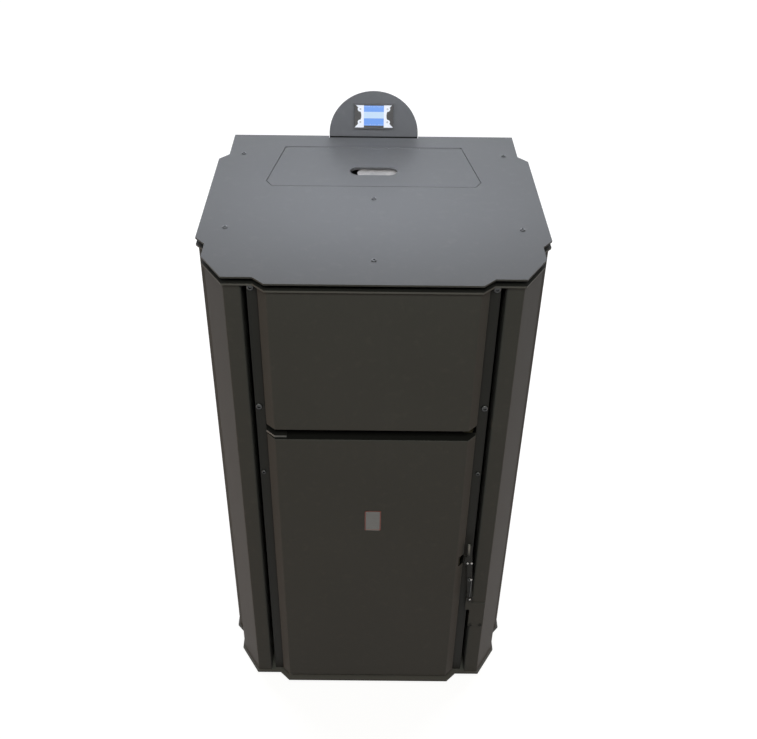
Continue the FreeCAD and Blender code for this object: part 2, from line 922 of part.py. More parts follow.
def tray_path():
    """The outer path of a bevelled tray, from its left rim round the face to its right rim."""
    half = [
        (tray_face_half, s.panel_inset),
        (tray_half, s.panel_inset + s.tray_bevel),
        (tray_half, s.tray_rim),
    ]
    return mirrored(half) + half


def build_tray(name, low, high):
    """A bevelled sheet tray, closed at the top and bottom with rounded edges, and open at the rear."""
    tray = new_body(name)
    path = tray_path()
    pad(tray, "XY", low, high, path)
    inner = offset_path(path, s.tray_sheet)
    open_rear = s.tray_rim + s.tray_sheet
    hollow = [(inner[0][0], open_rear)] + inner[1:-1] + [(inner[-1][0], open_rear)]
    pocket(tray, "XY", low + s.tray_sheet, high - s.tray_sheet, hollow)
    round_folds(tray, path, s.tray_sheet)
    levels = [as_size(level).number for level in (low, high)]
    rear = s.tray_rim.number

    def on_the_rim(edge):
        ends = [vertex.Point for vertex in edge.Vertexes]
        level = any(all(abs(end.z - height) < 1e-4 for end in ends) for height in levels)
        return level and any(end.y < rear - 1e-4 for end in ends)

    round_edges(tray, s.tray_edge_radius, on_the_rim)
    return tray


def build_upper_front():
    """The fixed panel above the door, and the rail behind its lower edge."""
    build_tray("upper_front_panel", panel_bottom, frame_bottom)
    rail = new_body("front_rail")
    low = panel_bottom + s.rail_lift
    path = [
        (s.tray_rim, low + s.rail_height),
        (s.tray_rim, low),
        (vessel_front - s.vessel_clearance, low),
    ]
    pad(rail, "YZ", -upright_inner, upright_inner, folded(path, s.upright_sheet))


# Top: frame, cover, lid and control panel


def lid_outline(margin):
    """The lid's outline, or with a margin the edge of the opening round it."""
    rear = bay.hinge_y - s.hinge_setback
    half = [
        (s.lid_front_half + margin * LID_GAP_SHARE, bay.lid_front - margin),
        (s.lid_corner_half + margin, bay.lid_corner - margin * LID_GAP_SHARE),
        (s.lid_rear_half + margin, rear),
    ]
    return half


def build_top():
    """The top frame, and the cover that spacers hold above it."""
    outline = both_sides(plate_half + control_notch)
    holes = circles(cover_screw_places, s.cover_screw_radius + s.screw_clearance)
    frame = new_body("top_frame")
    mouth = rect(-s.mouth_half, bay.mouth_front, s.mouth_half, bay.mouth_rear)
    inspection_rear = bay.lid_front - s.inspection_before_lid
    inspection = rect(-s.inspection_half, s.inspection_front, s.inspection_half, inspection_rear)
    pad(frame, "XY", frame_bottom, frame_top, outline, mouth, inspection, *holes)

    cover = new_body("top_cover")
    opening = lid_outline(s.lid_gap)
    opening = opening + [(opening[-1][0], bay.hinge_y + s.hinge_rear_gap)]
    pad(cover, "XY", cover_bottom, cover_top, outline, both_sides(opening), *holes)

    spacers = new_body("cover_spacers")
    rings = circles(cover_screw_places, s.spacer_radius)
    pad(spacers, "XY", frame_top, cover_bottom, *rings, *holes)

    screws = new_body("cover_screws")
    head_top = cover_top + s.cover_screw_head
    pad(screws, "XY", frame_bottom, cover_top, *circles(cover_screw_places, s.cover_screw_radius))
    pad(screws, "XY", cover_top, head_top, *circles(cover_screw_places, s.cover_screw_head_radius))


def build_lid():
    """The hopper lid with its finger slot, the cup under the slot and the seal round the mouth.

    The floor of the cup ends in a round tongue, and leaves the left end of the slot open."""
    lid = new_body("hopper_lid")
    pad(lid, "XY", cover_bottom, cover_top, both_sides(lid_outline(as_size(0))))
    round_radius = s.slot_width / 2
    straight = s.slot_length / 2 - round_radius
    pocket(lid, "XY", cover_bottom, cover_top,
           rect(-straight, bay.slot_y - round_radius, straight, bay.slot_y + round_radius))
    pocket(lid, "XY", cover_bottom, cover_top, *circles(on_both(straight, bay.slot_y), round_radius))

    cup = new_body("lid_finger_cup")
    across = s.slot_length / 2 + s.cup_margin
    along = round_radius + s.cup_margin
    floor = cover_bottom - s.cup_depth
    pad(cup, "XY", floor, cover_bottom, rect(-across, bay.slot_y - along, across, bay.slot_y + along))
    across = across - s.cup_wall
    along = along - s.cup_wall
    pocket(cup, "XY", floor + s.cup_wall, cover_bottom,
           rect(-across, bay.slot_y - along, across, bay.slot_y + along))
    pocket(cup, "XY", floor, floor + s.cup_wall, circle(-straight, bay.slot_y, round_radius))
    pad(cup, "XY", floor, floor + s.cup_wall, circle(s.cup_shift - straight, bay.slot_y, round_radius))

    seal = new_body("lid_seal")
    inner = s.seal_margin
    outer = s.seal_margin + s.seal_width
    loops = [
        rect(-s.mouth_half - grow, bay.mouth_front - grow, s.mouth_half + grow, bay.mouth_rear + grow)
        for grow in (outer, inner)
    ]
    pad(seal, "XY", frame_top + s.seal_gap, cover_bottom, *loops)


def build_leaf(name, side, segments):
    """One leaf of the piano hinge, with its knuckles; side is -1 in front of the pin, +1 behind."""
    leaf = new_body(name)
    top = cover_bottom
    low = top - s.leaf_thickness
    near = bay.hinge_y + (s.knuckle_radius + s.knuckle_gap) * side
    far = near + s.leaf_width * side
    first, second = (far, near) if side < 0 else (near, far)
    pad(leaf, "YZ", -s.leaf_half_length, s.leaf_half_length, rect(first, low, second, top))
    first, second = (near, bay.hinge_y) if side < 0 else (bay.hinge_y, near)
    for left, right in segments:
        pad(leaf, "YZ", left, right, rect(first, low, second, top))
        pad(leaf, "YZ", left, right, circle(bay.hinge_y, hinge_z, s.knuckle_radius))
    bore = circle(bay.hinge_y, hinge_z, s.hinge_pin_radius + s.running_clearance)
    pocket(leaf, "YZ", -s.leaf_half_length, s.leaf_half_length, bore)


def build_lid_hinge():
    """A piano hinge along the rear edge of the lid."""
    gap = s.knuckle_gap
    inner, outer, end = s.knuckle_inner, s.knuckle_outer, s.leaf_half_length
    build_leaf("lid_hinge_leaf", -1, [(-outer, -inner), (inner, outer)])
    build_leaf("cover_hinge_leaf", 1,
               [(-end, -outer - gap), (gap - inner, inner - gap), (outer + gap, end)])
    pin = new_body("lid_hinge_pin")
    pad(pin, "YZ", -end, end, circle(bay.hinge_y, hinge_z, s.hinge_pin_radius))


def build_control_panel():
    """The half-round plate at the rear edge, with the display set into it."""
    plate = new_body("control_panel")
    centre = cover_top + s.control_rise - s.control_radius
    back = shell_back + s.control_thickness
    radius = s.control_radius
    pad(plate, "XZ", shell_back, back, rect(-radius, cover_top - s.control_tail, radius, centre))
    pad(plate, "XZ", shell_back, back, circle(0, centre, radius))
    half = s.display_width / 2
    low = cover_top + s.display_lift
    high = low + s.display_height

    def window(inset):
        return rect(inset - half, low + inset, half - inset, high - inset)

    pocket(plate, "XZ", shell_back, back, window(s.display_neck_inset))

    module = new_body("display_module")
    face = shell_back - s.display_proud
    neck = s.display_neck_inset + s.screen_clearance
    box_back = back + s.display_box_depth
    pad(module, "XZ", face, shell_back, window(as_size(0)))
    pad(module, "XZ", shell_back, back, window(neck))
    pad(module, "XZ", back, box_back, window(-s.display_box_margin))
    glass_back = shell_back - s.screen_ledge
    pocket(module, "XZ", face, glass_back, window(s.bezel_width))
    screen = new_body("display_screen")
    pad(screen, "XZ", face + s.screen_sink, glass_back, window(s.bezel_width + s.screen_clearance))


# Door and latch


def build_door():
    """The door tray, its fire side and the pivots at its left edge."""
    pan = build_tray("door_pan", s.door_bottom, door_top)
    pivot = circle(-pivot_half, s.pivot_y, s.pivot_hole_radius)
    pocket(pan, "XY", door_top - s.tray_sheet, door_top, pivot)
    pocket(pan, "XY", s.door_bottom, s.door_bottom + s.tray_sheet, pivot)
    notch_low = s.nose_low - s.notch_clearance
    notch_high = s.nose_high + s.notch_clearance
    notch = rect(tray_half - s.notch_depth, notch_low, tray_half + s.tray_sheet, notch_high)
    pocket(pan, "XZ", s.panel_inset, s.tray_rim, notch)

    wool_front = s.panel_inset + s.tray_sheet
    wool_back = wool_front + s.insulation_depth
    plate_back = wool_back + s.inner_plate_thickness
    half, low, high = s.fire_side_half, s.fire_side_low, s.fire_side_high
    pad(new_body("door_insulation"), "XZ", wool_front, wool_back, rect(-half, low, half, high))
    pad(new_body("door_inner_plate"), "XZ", wool_back, plate_back, rect(-half, low, half, high))
    rope = []
    for inset in (s.rope_inset, s.rope_inset + s.rope_width):
        rope.append(rect(inset - half, low + inset, half - inset, high - inset))
    pad(new_body("door_rope_seal"), "XZ", plate_back, plate_back + s.rope_depth, *rope)

    plates = new_body("door_hinge_plates")
    inner = offset_path(tray_path(), s.tray_sheet + s.hinge_plate_fit)
    reach = s.hinge_plate_reach - pivot_half
    outline = inner[:3] + [(reach, inner[2][1]), (reach, s.tray_rim)]
    bore = circle(-pivot_half, s.pivot_y, s.pivot_radius + s.running_clearance)
    upper = door_top - s.tray_sheet
    lower = s.door_bottom + s.tray_sheet
    pad(plates, "XY", upper - s.hinge_plate_thickness, upper, outline, bore)
    pad(plates, "XY", lower, lower + s.hinge_plate_thickness, outline, bore)

    brackets = new_body("door_pivot_brackets")
    left = -upright_inner
    right = reach
    bracket_low = door_top + s.bracket_gap
    bracket_rear = vessel_front - s.vessel_clearance
    step = s.tray_bevel
    pad(
        brackets, "XY", bracket_low, bracket_low + s.bracket_thickness,
        [
            (left, s.bracket_front + step),
            (left + step, s.bracket_front),
            (right, s.bracket_front),
            (right, bracket_rear),
            (left, bracket_rear),
        ],
    )
    pin = circle(-pivot_half, s.pivot_y, s.pivot_radius)
    pad(brackets, "XY", upper - s.hinge_plate_thickness, bracket_low, pin)
    boss_top = s.door_bottom - s.pivot_play
    pad(brackets, "XY", base_top, boss_top, circle(-pivot_half, s.pivot_y, s.boss_radius))
    pad(brackets, "XY", boss_top, lower + s.hinge_plate_thickness, pin)


def build_latch():
    """A hand lever on the right post, with its pivot bolt, pins and wire.

    The bracket is a plate on the post with an ear beside the post that carries the pivot."""
    pivot = (latch_x, s.latch_pivot_z)
    bracket = new_body("latch_bracket")
    bracket_face = post_front - s.latch_plate_thickness
    left = post_inner - s.latch_plate_reach
    right = left + s.latch_plate_width
    pad(bracket, "XZ", bracket_face, post_front,
        rect(left, s.latch_plate_low, right, s.latch_plate_high))
    ear_low = s.latch_plate_high - s.latch_ear_lap
    ear_high = s.latch_pivot_z + s.latch_ear_above
    pad(bracket, "XZ", bracket_face, post_front,
        rect(latch_x - s.latch_ear_half, ear_low, latch_x + s.latch_ear_half, ear_high))

    bolt = new_body("latch_pivot")
    head_back = lever_front - s.latch_play
    pad(bolt, "XZ", lever_back + s.latch_play, bracket_face, circle(*pivot, s.latch_head_radius))
    pad(bolt, "XZ", head_back, lever_back + s.latch_play, circle(*pivot, s.latch_bolt_radius))
    pad(bolt, "XZ", head_back - s.latch_head, head_back, circle(*pivot, s.latch_head_radius))

    lever = new_body("latch_lever")
    half = s.lever_width / 2
    tip_x = latch_x - s.lever_lean
    nose_tip = tray_half + s.nose_gap
    tip_z = s.latch_pivot_z + s.lever_length
    low_lean = s.lever_lean * ((s.nose_low - s.latch_pivot_z) / s.lever_length)
    high_lean = s.lever_lean * ((s.nose_high - s.latch_pivot_z) / s.lever_length)
    outline = [
        (latch_x + half, s.latch_pivot_z),
        (tip_x + half, tip_z),
        (tip_x - half, tip_z),
        (latch_x - half - high_lean, s.nose_high),
        (nose_tip, s.nose_high),
        (nose_tip, s.nose_low),
        (latch_x - half - low_lean, s.nose_low),
        (latch_x - half, s.latch_pivot_z),
    ]
    pad(lever, "XZ", lever_front, lever_back, outline)
    pad(lever, "XZ", lever_front, lever_back, circle(*pivot, s.lever_boss_radius))
    pocket(lever, "XZ", lever_front, lever_back,
           circle(*pivot, s.latch_bolt_radius + s.running_clearance))

    pins = new_body("latch_pins")
    anchor = (latch_x - s.anchor_shift, s.latch_pivot_z + s.anchor_rise)
    places = [(latch_x - s.roller_far, s.roller_low), (latch_x - s.roller_near, s.roller_low), anchor]
    pin_face = lever_front - s.latch_pin_head
    pad(pins, "XZ", pin_face, lever_front, *circles(places, s.latch_pin_radius))
    wire = s.latch_wire_width / 2
    wire_foot = s.latch_pivot_z + s.latch_head_radius + s.latch_wire_width
    pad(pins, "XZ", lever_front - s.latch_wire_width, lever_front,
        rect(anchor[0] - wire, wire_foot, anchor[0] + wire, anchor[1]))


# Boiler vessel


def build_vessel():
    """The water jacket, the firebox inside it, and the flue tubes behind the firebox."""
    plate = s.vessel_plate
    front, back = vessel_front, vessel_back
    low, high = s.vessel_bottom, vessel_top
    inner_half = s.firebox_half
    main_front = front + s.firebox_step
    spigot_hole = circle(0, s.fan_z, s.fan_inlet_radius)

    jacket = new_body("boiler_jacket")
    pad(jacket, "XY", low, high, rect(-s.vessel_half, front, s.vessel_half, back))
    pocket(jacket, "XY", low + plate, high - plate,
           rect(plate - s.vessel_half, front + plate, s.vessel_half - plate, back - plate))
    pocket(jacket, "XZ", front, front + plate,
           rect(-inner_half, s.firebox_bottom, inner_half, s.mouth_top))
    pocket(jacket, "XY", high - plate, high,
           rect(-inner_half, main_front, inner_half, firebox_back),
           *circles(tube_places, s.tube_radius + s.tube_fit))
    chute_half = s.inlet_half + s.chute_sheet + s.chute_fit
    chute_low, chute_high = chute_span(back - plate, back)
    pocket(jacket, "XZ", back - plate, back, spigot_hole,
           rect(-chute_half, chute_low, chute_half, chute_high),
           circle(0, s.igniter_z, s.igniter_sleeve_radius + s.tube_fit),
           *circles([(s.pipe_x, s.flow_z), (s.pipe_x, s.return_z)], s.pipe_radius - s.pipe_step + s.tube_fit))
    box = s.smoke_box_half
    collar = [
        rect(-box, front, box, back),
        rect(plate - box, front + plate, box - plate, back - plate),
    ]
    pad(jacket, "XY", high, smoke_top, *collar)

    cover = new_body("smoke_box_cover")
    lap = s.smoke_cover_lap
    cover_high = smoke_top + s.smoke_cover_thickness
    pad(cover, "XY", smoke_top, cover_high, rect(-box - lap, front - lap, box + lap, back + lap))
    bar = s.cover_handle_bar
    middle = (front + back) / 2
    path = [
        (s.cover_handle_half, cover_high),
        (s.cover_handle_half, cover_high + s.cover_handle_rise),
    ]
    handle = folded(path + mirrored(path), bar)
    pad(cover, "XZ", middle - bar / 2, middle + bar / 2, handle)

    firebox = new_body("firebox")
    floor = s.firebox_bottom
    cavity_half = inner_half - plate
    pad(firebox, "XY", floor, high, rect(-inner_half, main_front, inner_half, firebox_back))
    pad(firebox, "XZ", front, main_front, rect(-inner_half, floor, inner_half, s.mouth_top))
    pocket(firebox, "XY", floor + plate, high,
           rect(-cavity_half, main_front + plate, cavity_half, firebox_back - plate))
    pocket(firebox, "XZ", front, main_front + plate,
           rect(-cavity_half, floor + plate, cavity_half, s.mouth_top - plate))
    chute_low, chute_high = chute_span(firebox_back - plate, firebox_back)
    pocket(firebox, "XZ", firebox_back - plate, firebox_back,
           rect(-chute_half, chute_low, chute_half, chute_high),
           circle(0, s.igniter_z, s.igniter_sleeve_radius + s.tube_fit))

    collector = new_body("flue_collector")
    half = s.collector_half
    rear = back - plate
    face = firebox_back + s.collector_gap
    pad(collector, "XY", s.collector_bottom, s.collector_top, rect(-half, face, half, rear))
    pocket(collector, "XY", s.collector_bottom + plate, s.collector_top - plate,
           rect(plate - half, face + plate, half - plate, rear - plate))
    pocket(collector, "XY", s.collector_top - plate, s.collector_top,
           *circles(tube_places, s.tube_radius + s.tube_fit))
    outlet_half = s.fan_inlet_radius
    pocket(collector, "XZ", rear - plate, rear,
           rect(-outlet_half, s.collector_bottom + plate, outlet_half, s.collector_top - plate))

    tubes = new_body("fire_tubes")
    rings = circles(tube_places, s.tube_radius) + circles(tube_places, s.tube_radius - s.tube_wall)
    pad(tubes, "XY", s.collector_top - plate, high, *rings)

    wool = new_body("boiler_insulation")
    slab = rect(s.vessel_half, front + plate, upright_inner - s.wool_gap, back - plate)
    pad(wool, "XY", low + plate, high - plate, slab, mirrored(slab))


def twisted_strip(across, along, top):
    """A flat strip, twisted about its long axis, that hangs in a flue tube."""
    half = sheet.tube_radius - sheet.tube_wall - sheet.strip_play
    thick = sheet.strip_thickness / 2
    steps = int(STRIP_STEPS * sheet.strip_turns)
    sections = []
    for step in range(steps + 1):
        angle = 2 * math.pi * sheet.strip_turns * step / steps
        level = top - sheet.strip_length * step / steps
        corners = []
        for a, b in ((-half, -thick), (half, -thick), (half, thick), (-half, thick)):
            x = across + a * math.cos(angle) - b * math.sin(angle)
            y = along + a * math.sin(angle) + b * math.cos(angle)
            corners.append(FreeCAD.Vector(x, y, level))
        sections.append(corners)
    return faceted_sweep(sections)


def build_turbulators():
    """The twisted strips that slow the gas in the flue tubes."""
    node = doc.addObject("Part::Feature", "turbulators")
    node.Label = "turbulators"
    strips = []
    for across, along in tube_places:
        strips.append(twisted_strip(across.number, along.number, vessel_top.number))
    node.Shape = Part.makeCompound(strips)
    place(node)


# Burner, ash drawer and igniter


def grate_row(length):
    """Evenly spaced places about zero, as many as a length holds."""
    gaps = int(length.number / s.grate_hole_step.number)
    return [s.grate_hole_step * (index - gaps / 2) for index in range(gaps + 1)]


def build_burner():
    """The shelf with its burner pot, the ash drawer below and the igniter behind."""
    plate = s.vessel_plate
    floor = s.firebox_bottom + plate
    rear = cavity_back - s.shelf_play
    shelf_half = s.firebox_half - plate - s.shelf_play
    shelf_top = s.shelf_z + s.shelf_thickness
    shelf = new_body("burner_shelf")
    right = [(shelf_half, floor), (shelf_half, shelf_top)]
    pad(shelf, "XZ", vessel_front + s.shelf_setback, rear, folded(right + mirrored(right), s.shelf_thickness))
    pot_front = cavity_front + s.pot_front_gap
    pot_rear = cavity_back - s.pot_rear_gap

    def pot_outline(grow):
        return rect(-s.pot_half - grow, pot_front - grow, s.pot_half + grow, pot_rear + grow)

    pocket(shelf, "XY", s.shelf_z, shelf_top, pot_outline(s.pot_fit))

    pot = new_body("burner_pot")
    neck_low = shelf_top - s.pot_neck
    pot_top = shelf_top + s.pot_rise
    rim = shelf_top + s.pot_wall
    wall = s.pot_wall
    pad(pot, "XY", neck_low, shelf_top, pot_outline(as_size(0)))
    pad(pot, "XY", shelf_top, rim, pot_outline(s.pot_rim))
    loft("AdditiveLoft", pot, rim, pot_outline(as_size(0)), pot_top, pot_outline(s.pot_flare))
    loft("SubtractiveLoft", pot, rim, pot_outline(-wall), pot_top, pot_outline(s.pot_flare - wall))
    pocket(pot, "XY", neck_low + wall, rim, pot_outline(-wall))
    grate = []
    middle = (pot_front + pot_rear) / 2
    edge = wall + s.grate_margin
    for across in grate_row(s.pot_half * 2 - edge * 2):
        for along in grate_row(pot_rear - pot_front - edge * 2):
            grate.append(circle(across, middle + along, s.grate_hole_radius))
    pocket(pot, "XY", neck_low, neck_low + wall, *grate)

    drawer = new_body("ash_drawer")
    half, thin = s.drawer_half, s.drawer_sheet
    top = floor + s.drawer_height
    drawer_front = vessel_front + s.drawer_setback
    drawer_rear = cavity_back - s.drawer_gap
    pad(drawer, "XY", floor, top, rect(-half, drawer_front, half, drawer_rear))
    pocket(drawer, "XY", floor + thin, top,
           rect(thin - half, drawer_front + thin, half - thin, drawer_rear - thin))
    reach = drawer_front - s.drawer_handle_reach
    grip = [
        (drawer_front, top - s.drawer_handle_drop),
        (reach, top - s.drawer_handle_drop),
        (reach, top - s.drawer_handle_drop * 2),
    ]
    pad(drawer, "YZ", -s.drawer_handle_half, s.drawer_handle_half, folded(grip, thin))

    igniter = new_body("igniter")
    sleeve = [
        circle(0, s.igniter_z, s.igniter_sleeve_radius),
        circle(0, s.igniter_z, s.igniter_radius),
    ]
    pad(igniter, "XZ", cavity_back, vessel_back, *sleeve)
    pad(igniter, "XZ", cavity_back - s.igniter_reach, vessel_back + s.igniter_tail, sleeve[1])


# Pellet feed


def chute_top():
    """The level where the drop chute meets the auger's outlet collar."""
    return s.auger_z - s.outlet_drop


def chute_section():
    """The chute's outer section: down from the outlet collar, then forward to the burner."""
    front = bay.outlet_front - s.collar_wall
    rear = bay.outlet_rear + s.collar_wall
    top = chute_top()
    lip = cavity_back - s.chute_reach
    return [
        (front, top),
        (rear, top),
        (rear, top - s.chute_knee),
        (lip, top - s.chute_knee - s.chute_fall),
        (lip, top - s.chute_knee - s.chute_fall + s.chute_throat),
    ]


def chute_span(front, rear):
    """The lowest and highest level of the chute where it passes a wall, with its clearance."""
    outline = chute_section()

    def level(start, end, y):
        share = (y - start[0]) / (end[0] - start[0])
        return start[1] + (end[1] - start[1]) * share

    low = level(outline[3], outline[2], front)
    high = level(outline[4], outline[0], rear)
    return low - s.chute_fit, high + s.chute_fit


def build_chute():
    """The duct that drops pellets from the auger into the burner pot."""
    chute = new_body("drop_chute")
    outer = chute_section()
    wall = s.chute_sheet
    half = s.inlet_half + wall
    pad(chute, "YZ", -half, half, outer)
    slack = wall * 1.4
    inner = [
        (outer[0][0] + wall, outer[0][1]),
        (outer[1][0] - wall, outer[1][1]),
        (outer[2][0] - wall, outer[2][1] + wall / 2),
        (outer[3][0], outer[3][1] + slack),
        (outer[4][0], outer[4][1] - slack),
        (outer[0][0] + wall, outer[0][1] - wall / 2),
    ]
    pocket(chute, "YZ", -s.inlet_half, s.inlet_half, inner)


def build_auger():
    """The auger's tube with its inlet and outlet collars, and the gear motor behind it."""
    tube = new_body("auger_tube")
    front, rear = bay.auger_front, bay.auger_rear
    wall = s.collar_wall
    half = s.inlet_half
    pad(tube, "XZ", front, rear, circle(0, s.auger_z, s.auger_tube_radius))
    flange_half = s.gearbox_half
    pad(tube, "XZ", rear, rear + s.auger_flange,
        rect(-flange_half, s.auger_z - flange_half, flange_half, s.auger_z + flange_half))
    pad(tube, "XY", s.auger_z, s.auger_z + s.collar_rise,
        rect(-half - wall, bay.inlet_front - wall, half + wall, bay.inlet_rear + wall))
    pad(tube, "XY", chute_top(), s.auger_z,
        rect(-half - s.chute_sheet, bay.outlet_front - wall, half + s.chute_sheet, bay.outlet_rear + wall))
    bore = s.auger_tube_radius - s.auger_tube_wall
    pocket(tube, "XZ", front + s.auger_end_wall, rear, circle(0, s.auger_z, bore))
    journal = circle(0, s.auger_z, s.auger_shaft_radius + s.running_clearance)
    pocket(tube, "XZ", front, front + s.auger_end_wall, journal)
    pocket(tube, "XZ", rear, rear + s.auger_flange, circle(0, s.auger_z, bore / 2))
    pocket(tube, "XY", s.auger_z, s.auger_z + s.collar_rise,
           rect(-half, bay.inlet_front, half, bay.inlet_rear))
    pocket(tube, "XY", chute_top(), s.auger_z, rect(-half, bay.outlet_front, half, bay.outlet_rear))

    motor = new_body("auger_motor")
    face = rear + s.auger_flange
    box_rear = face + s.gearbox_depth
    box = s.gearbox_half
    pad(motor, "XZ", face, box_rear,
        rect(-box, s.auger_z - s.gearbox_above, box, s.auger_z + flange_half))
    pad(motor, "XZ", box_rear, box_rear + s.motor_depth, circle(0, s.auger_z - s.motor_drop, s.motor_radius))
    pocket(motor, "XZ", face, face + s.auger_shaft_engage + s.auger_end_gap, journal)


def build_auger_screw():
    """The shaft with its helical flight."""
    node = doc.addObject("Part::Feature", "auger_screw")
    node.Label = "auger_screw"
    tube_front, tube_rear = bay.auger_front.number, bay.auger_rear.number
    shaft_front = tube_front - sheet.auger_end_wall / 2
    shaft_rear = tube_rear + sheet.auger_flange + sheet.auger_shaft_engage
    axis = FreeCAD.Vector(0, 1, 0)
    start = FreeCAD.Vector(0, shaft_front, sheet.auger_z)
    shaft = Part.makeCylinder(sheet.auger_shaft_radius, shaft_rear - shaft_front, start, axis)
    first = tube_front + sheet.auger_end_wall + sheet.auger_end_gap
    length = tube_rear - sheet.auger_end_gap - sheet.auger_flight_thickness - first
    turns = length / sheet.auger_pitch
    steps = int(FLIGHT_STEPS * turns)
    root = sheet.auger_shaft_radius / 2
    sections = []
    for step in range(steps + 1):
        angle = 2 * math.pi * turns * step / steps
        along = first + length * step / steps
        corners = []
        for radius, shift in (
            (root, 0),
            (sheet.auger_flight_radius, 0),
            (sheet.auger_flight_radius, sheet.auger_flight_thickness),
            (root, sheet.auger_flight_thickness),
        ):
            x = radius * math.sin(angle)
            z = sheet.auger_z + radius * math.cos(angle)
            corners.append(FreeCAD.Vector(x, along + shift, z))
        sections.append(corners)
    node.Shape = shaft.fuse(faceted_sweep(sections))
    place(node)


def build_hopper():
    """The pellet hopper: a box under the top frame that narrows to the auger's inlet."""
    hopper = new_body("pellet_hopper")
    neck_low = s.auger_z + s.collar_rise
    neck_high = neck_low + s.hopper_neck
    grow = s.collar_wall

    def neck(inset):
        return rect(inset - s.inlet_half - grow, bay.inlet_front - grow + inset,
                    s.inlet_half + grow - inset, bay.inlet_rear + grow - inset)

    def box(inset):
        half = s.hopper_half - inset
        return rect(-half, bay.hopper_front + inset, half, bay.hopper_rear - inset)

    thin = s.hopper_sheet
    none = as_size(0)
    pad(hopper, "XY", neck_low, neck_high, neck(none))
    loft("AdditiveLoft", hopper, neck_high, neck(none), s.hopper_shoulder, box(none))
    pad(hopper, "XY", s.hopper_shoulder, frame_bottom, box(none))
    pocket(hopper, "XY", s.hopper_shoulder, frame_bottom, box(thin))
    loft("SubtractiveLoft", hopper, neck_high, neck(thin), s.hopper_shoulder, box(thin))
    pocket(hopper, "XY", neck_low, neck_high, neck(thin))

    controls = new_body("control_box")
    high = cover_top - s.control_box_drop
    outer = shell_side - s.sheet * 2 - s.control_box_side_gap
    pad(controls, "XY", high - s.control_box_height, high,
        rect(-outer, bay.control_box_front, -s.hopper_half, bay.control_box_rear))


# Flue fan, flue spigot and water pipes


def build_fan():
    """The flue fan behind the vessel, with an outlet box that carries the flue spigot."""
    housing = new_body("fan_housing")
    front, rear = vessel_back, fan_rear
    wall = s.fan_wall
    left, right = s.outlet_left, s.outlet_left + s.outlet_width
    spigot_x = s.outlet_left + s.outlet_width / 2
    pad(housing, "XZ", front, rear, circle(0, s.fan_z, s.fan_radius))
    pad(housing, "XZ", front, rear, rect(left, s.fan_z, right, s.outlet_top))
    pocket(housing, "XZ", front + wall, rear - wall, circle(0, s.fan_z, s.fan_radius - wall))
    pocket(housing, "XZ", front + wall, rear - wall,
           rect(left + wall, s.fan_z + wall, right - wall, s.outlet_top - wall))
    pocket(housing, "XZ", front, front + wall, circle(0, s.fan_z, s.fan_inlet_radius))
    pocket(housing, "XZ", rear - wall, rear, circle(0, s.fan_z, s.fan_shaft_hole),
           circle(spigot_x, s.spigot_z, s.spigot_radius - s.spigot_step - s.spigot_wall))

    motor = new_body("fan_motor")
    half = s.fan_motor_plate_half
    plate_rear = rear + s.fan_motor_plate
    pad(motor, "XZ", rear, plate_rear, rect(-half, s.fan_z - half, half, s.fan_z + half))
    pad(motor, "XZ", plate_rear, plate_rear + s.fan_motor_depth, circle(0, s.fan_z, s.fan_motor_radius))
    pad(motor, "XZ", rear - s.fan_shaft_reach, rear, circle(0, s.fan_z, s.fan_shaft_radius))

    disc_rear = rear - wall - s.impeller_clearance
    impeller = new_body("fan_impeller", y=disc_rear, z=s.fan_z)
    disc = s.impeller_disc
    pad(impeller, "XZ", -disc, 0, circle(0, 0, s.impeller_radius))
    pad(impeller, "XZ", -s.blade_depth, 0, circle(0, 0, s.impeller_hub_radius))
    blade_half = s.blade_thickness / 2
    blade = pad(impeller, "XZ", -s.blade_depth, -disc,
                rect(s.blade_inner, -blade_half, s.impeller_radius - blade_half, blade_half))
    pattern = impeller.newObject("PartDesign::PolarPattern", "impeller_blades")
    pattern.Originals = [blade]
    pattern.Axis = (origin_feature(impeller, "Y_Axis"), [""])
    pattern.Angle = 360
    pattern.Occurrences = BLADE_COUNT
    impeller.Tip = pattern
    pocket(impeller, "XZ", -s.blade_depth, 0, circle(0, 0, s.fan_shaft_radius + s.running_clearance))

    spigot = new_body("flue_spigot")
    flange_half = s.spigot_flange_half
    flange_rear = rear + s.spigot_flange
    neck_radius = s.spigot_radius - s.spigot_step
    inner = circle(spigot_x, s.spigot_z, neck_radius - s.spigot_wall)
    left, right = spigot_x - flange_half, spigot_x + flange_half
    low, high = s.spigot_z - flange_half, s.spigot_z + flange_half
    pad(spigot, "XZ", rear, flange_rear, rect(left, low, right, high), inner)
    end_start = s.casing_depth + s.end_gap
    pad(spigot, "XZ", flange_rear, end_start, circle(spigot_x, s.spigot_z, neck_radius), inner)
    pad(spigot, "XZ", end_start, s.casing_depth + s.spigot_projection,
        circle(spigot_x, s.spigot_z, s.spigot_radius), inner)


def build_pipes():
    """The flow and return connections, out of the vessel through the rear panel."""
    pipes = new_body("water_pipes")
    places = [(s.pipe_x, s.flow_z), (s.pipe_x, s.return_z)]
    bores = circles(places, s.pipe_radius - s.pipe_wall)
    end_start = s.casing_depth + s.end_gap
    neck = circles(places, s.pipe_radius - s.pipe_step)
    pad(pipes, "XZ", vessel_back - s.vessel_plate, end_start, *neck, *bores)
    pad(pipes, "XZ", end_start, s.casing_depth + s.pipe_projection, *circles(places, s.pipe_radius), *bores)


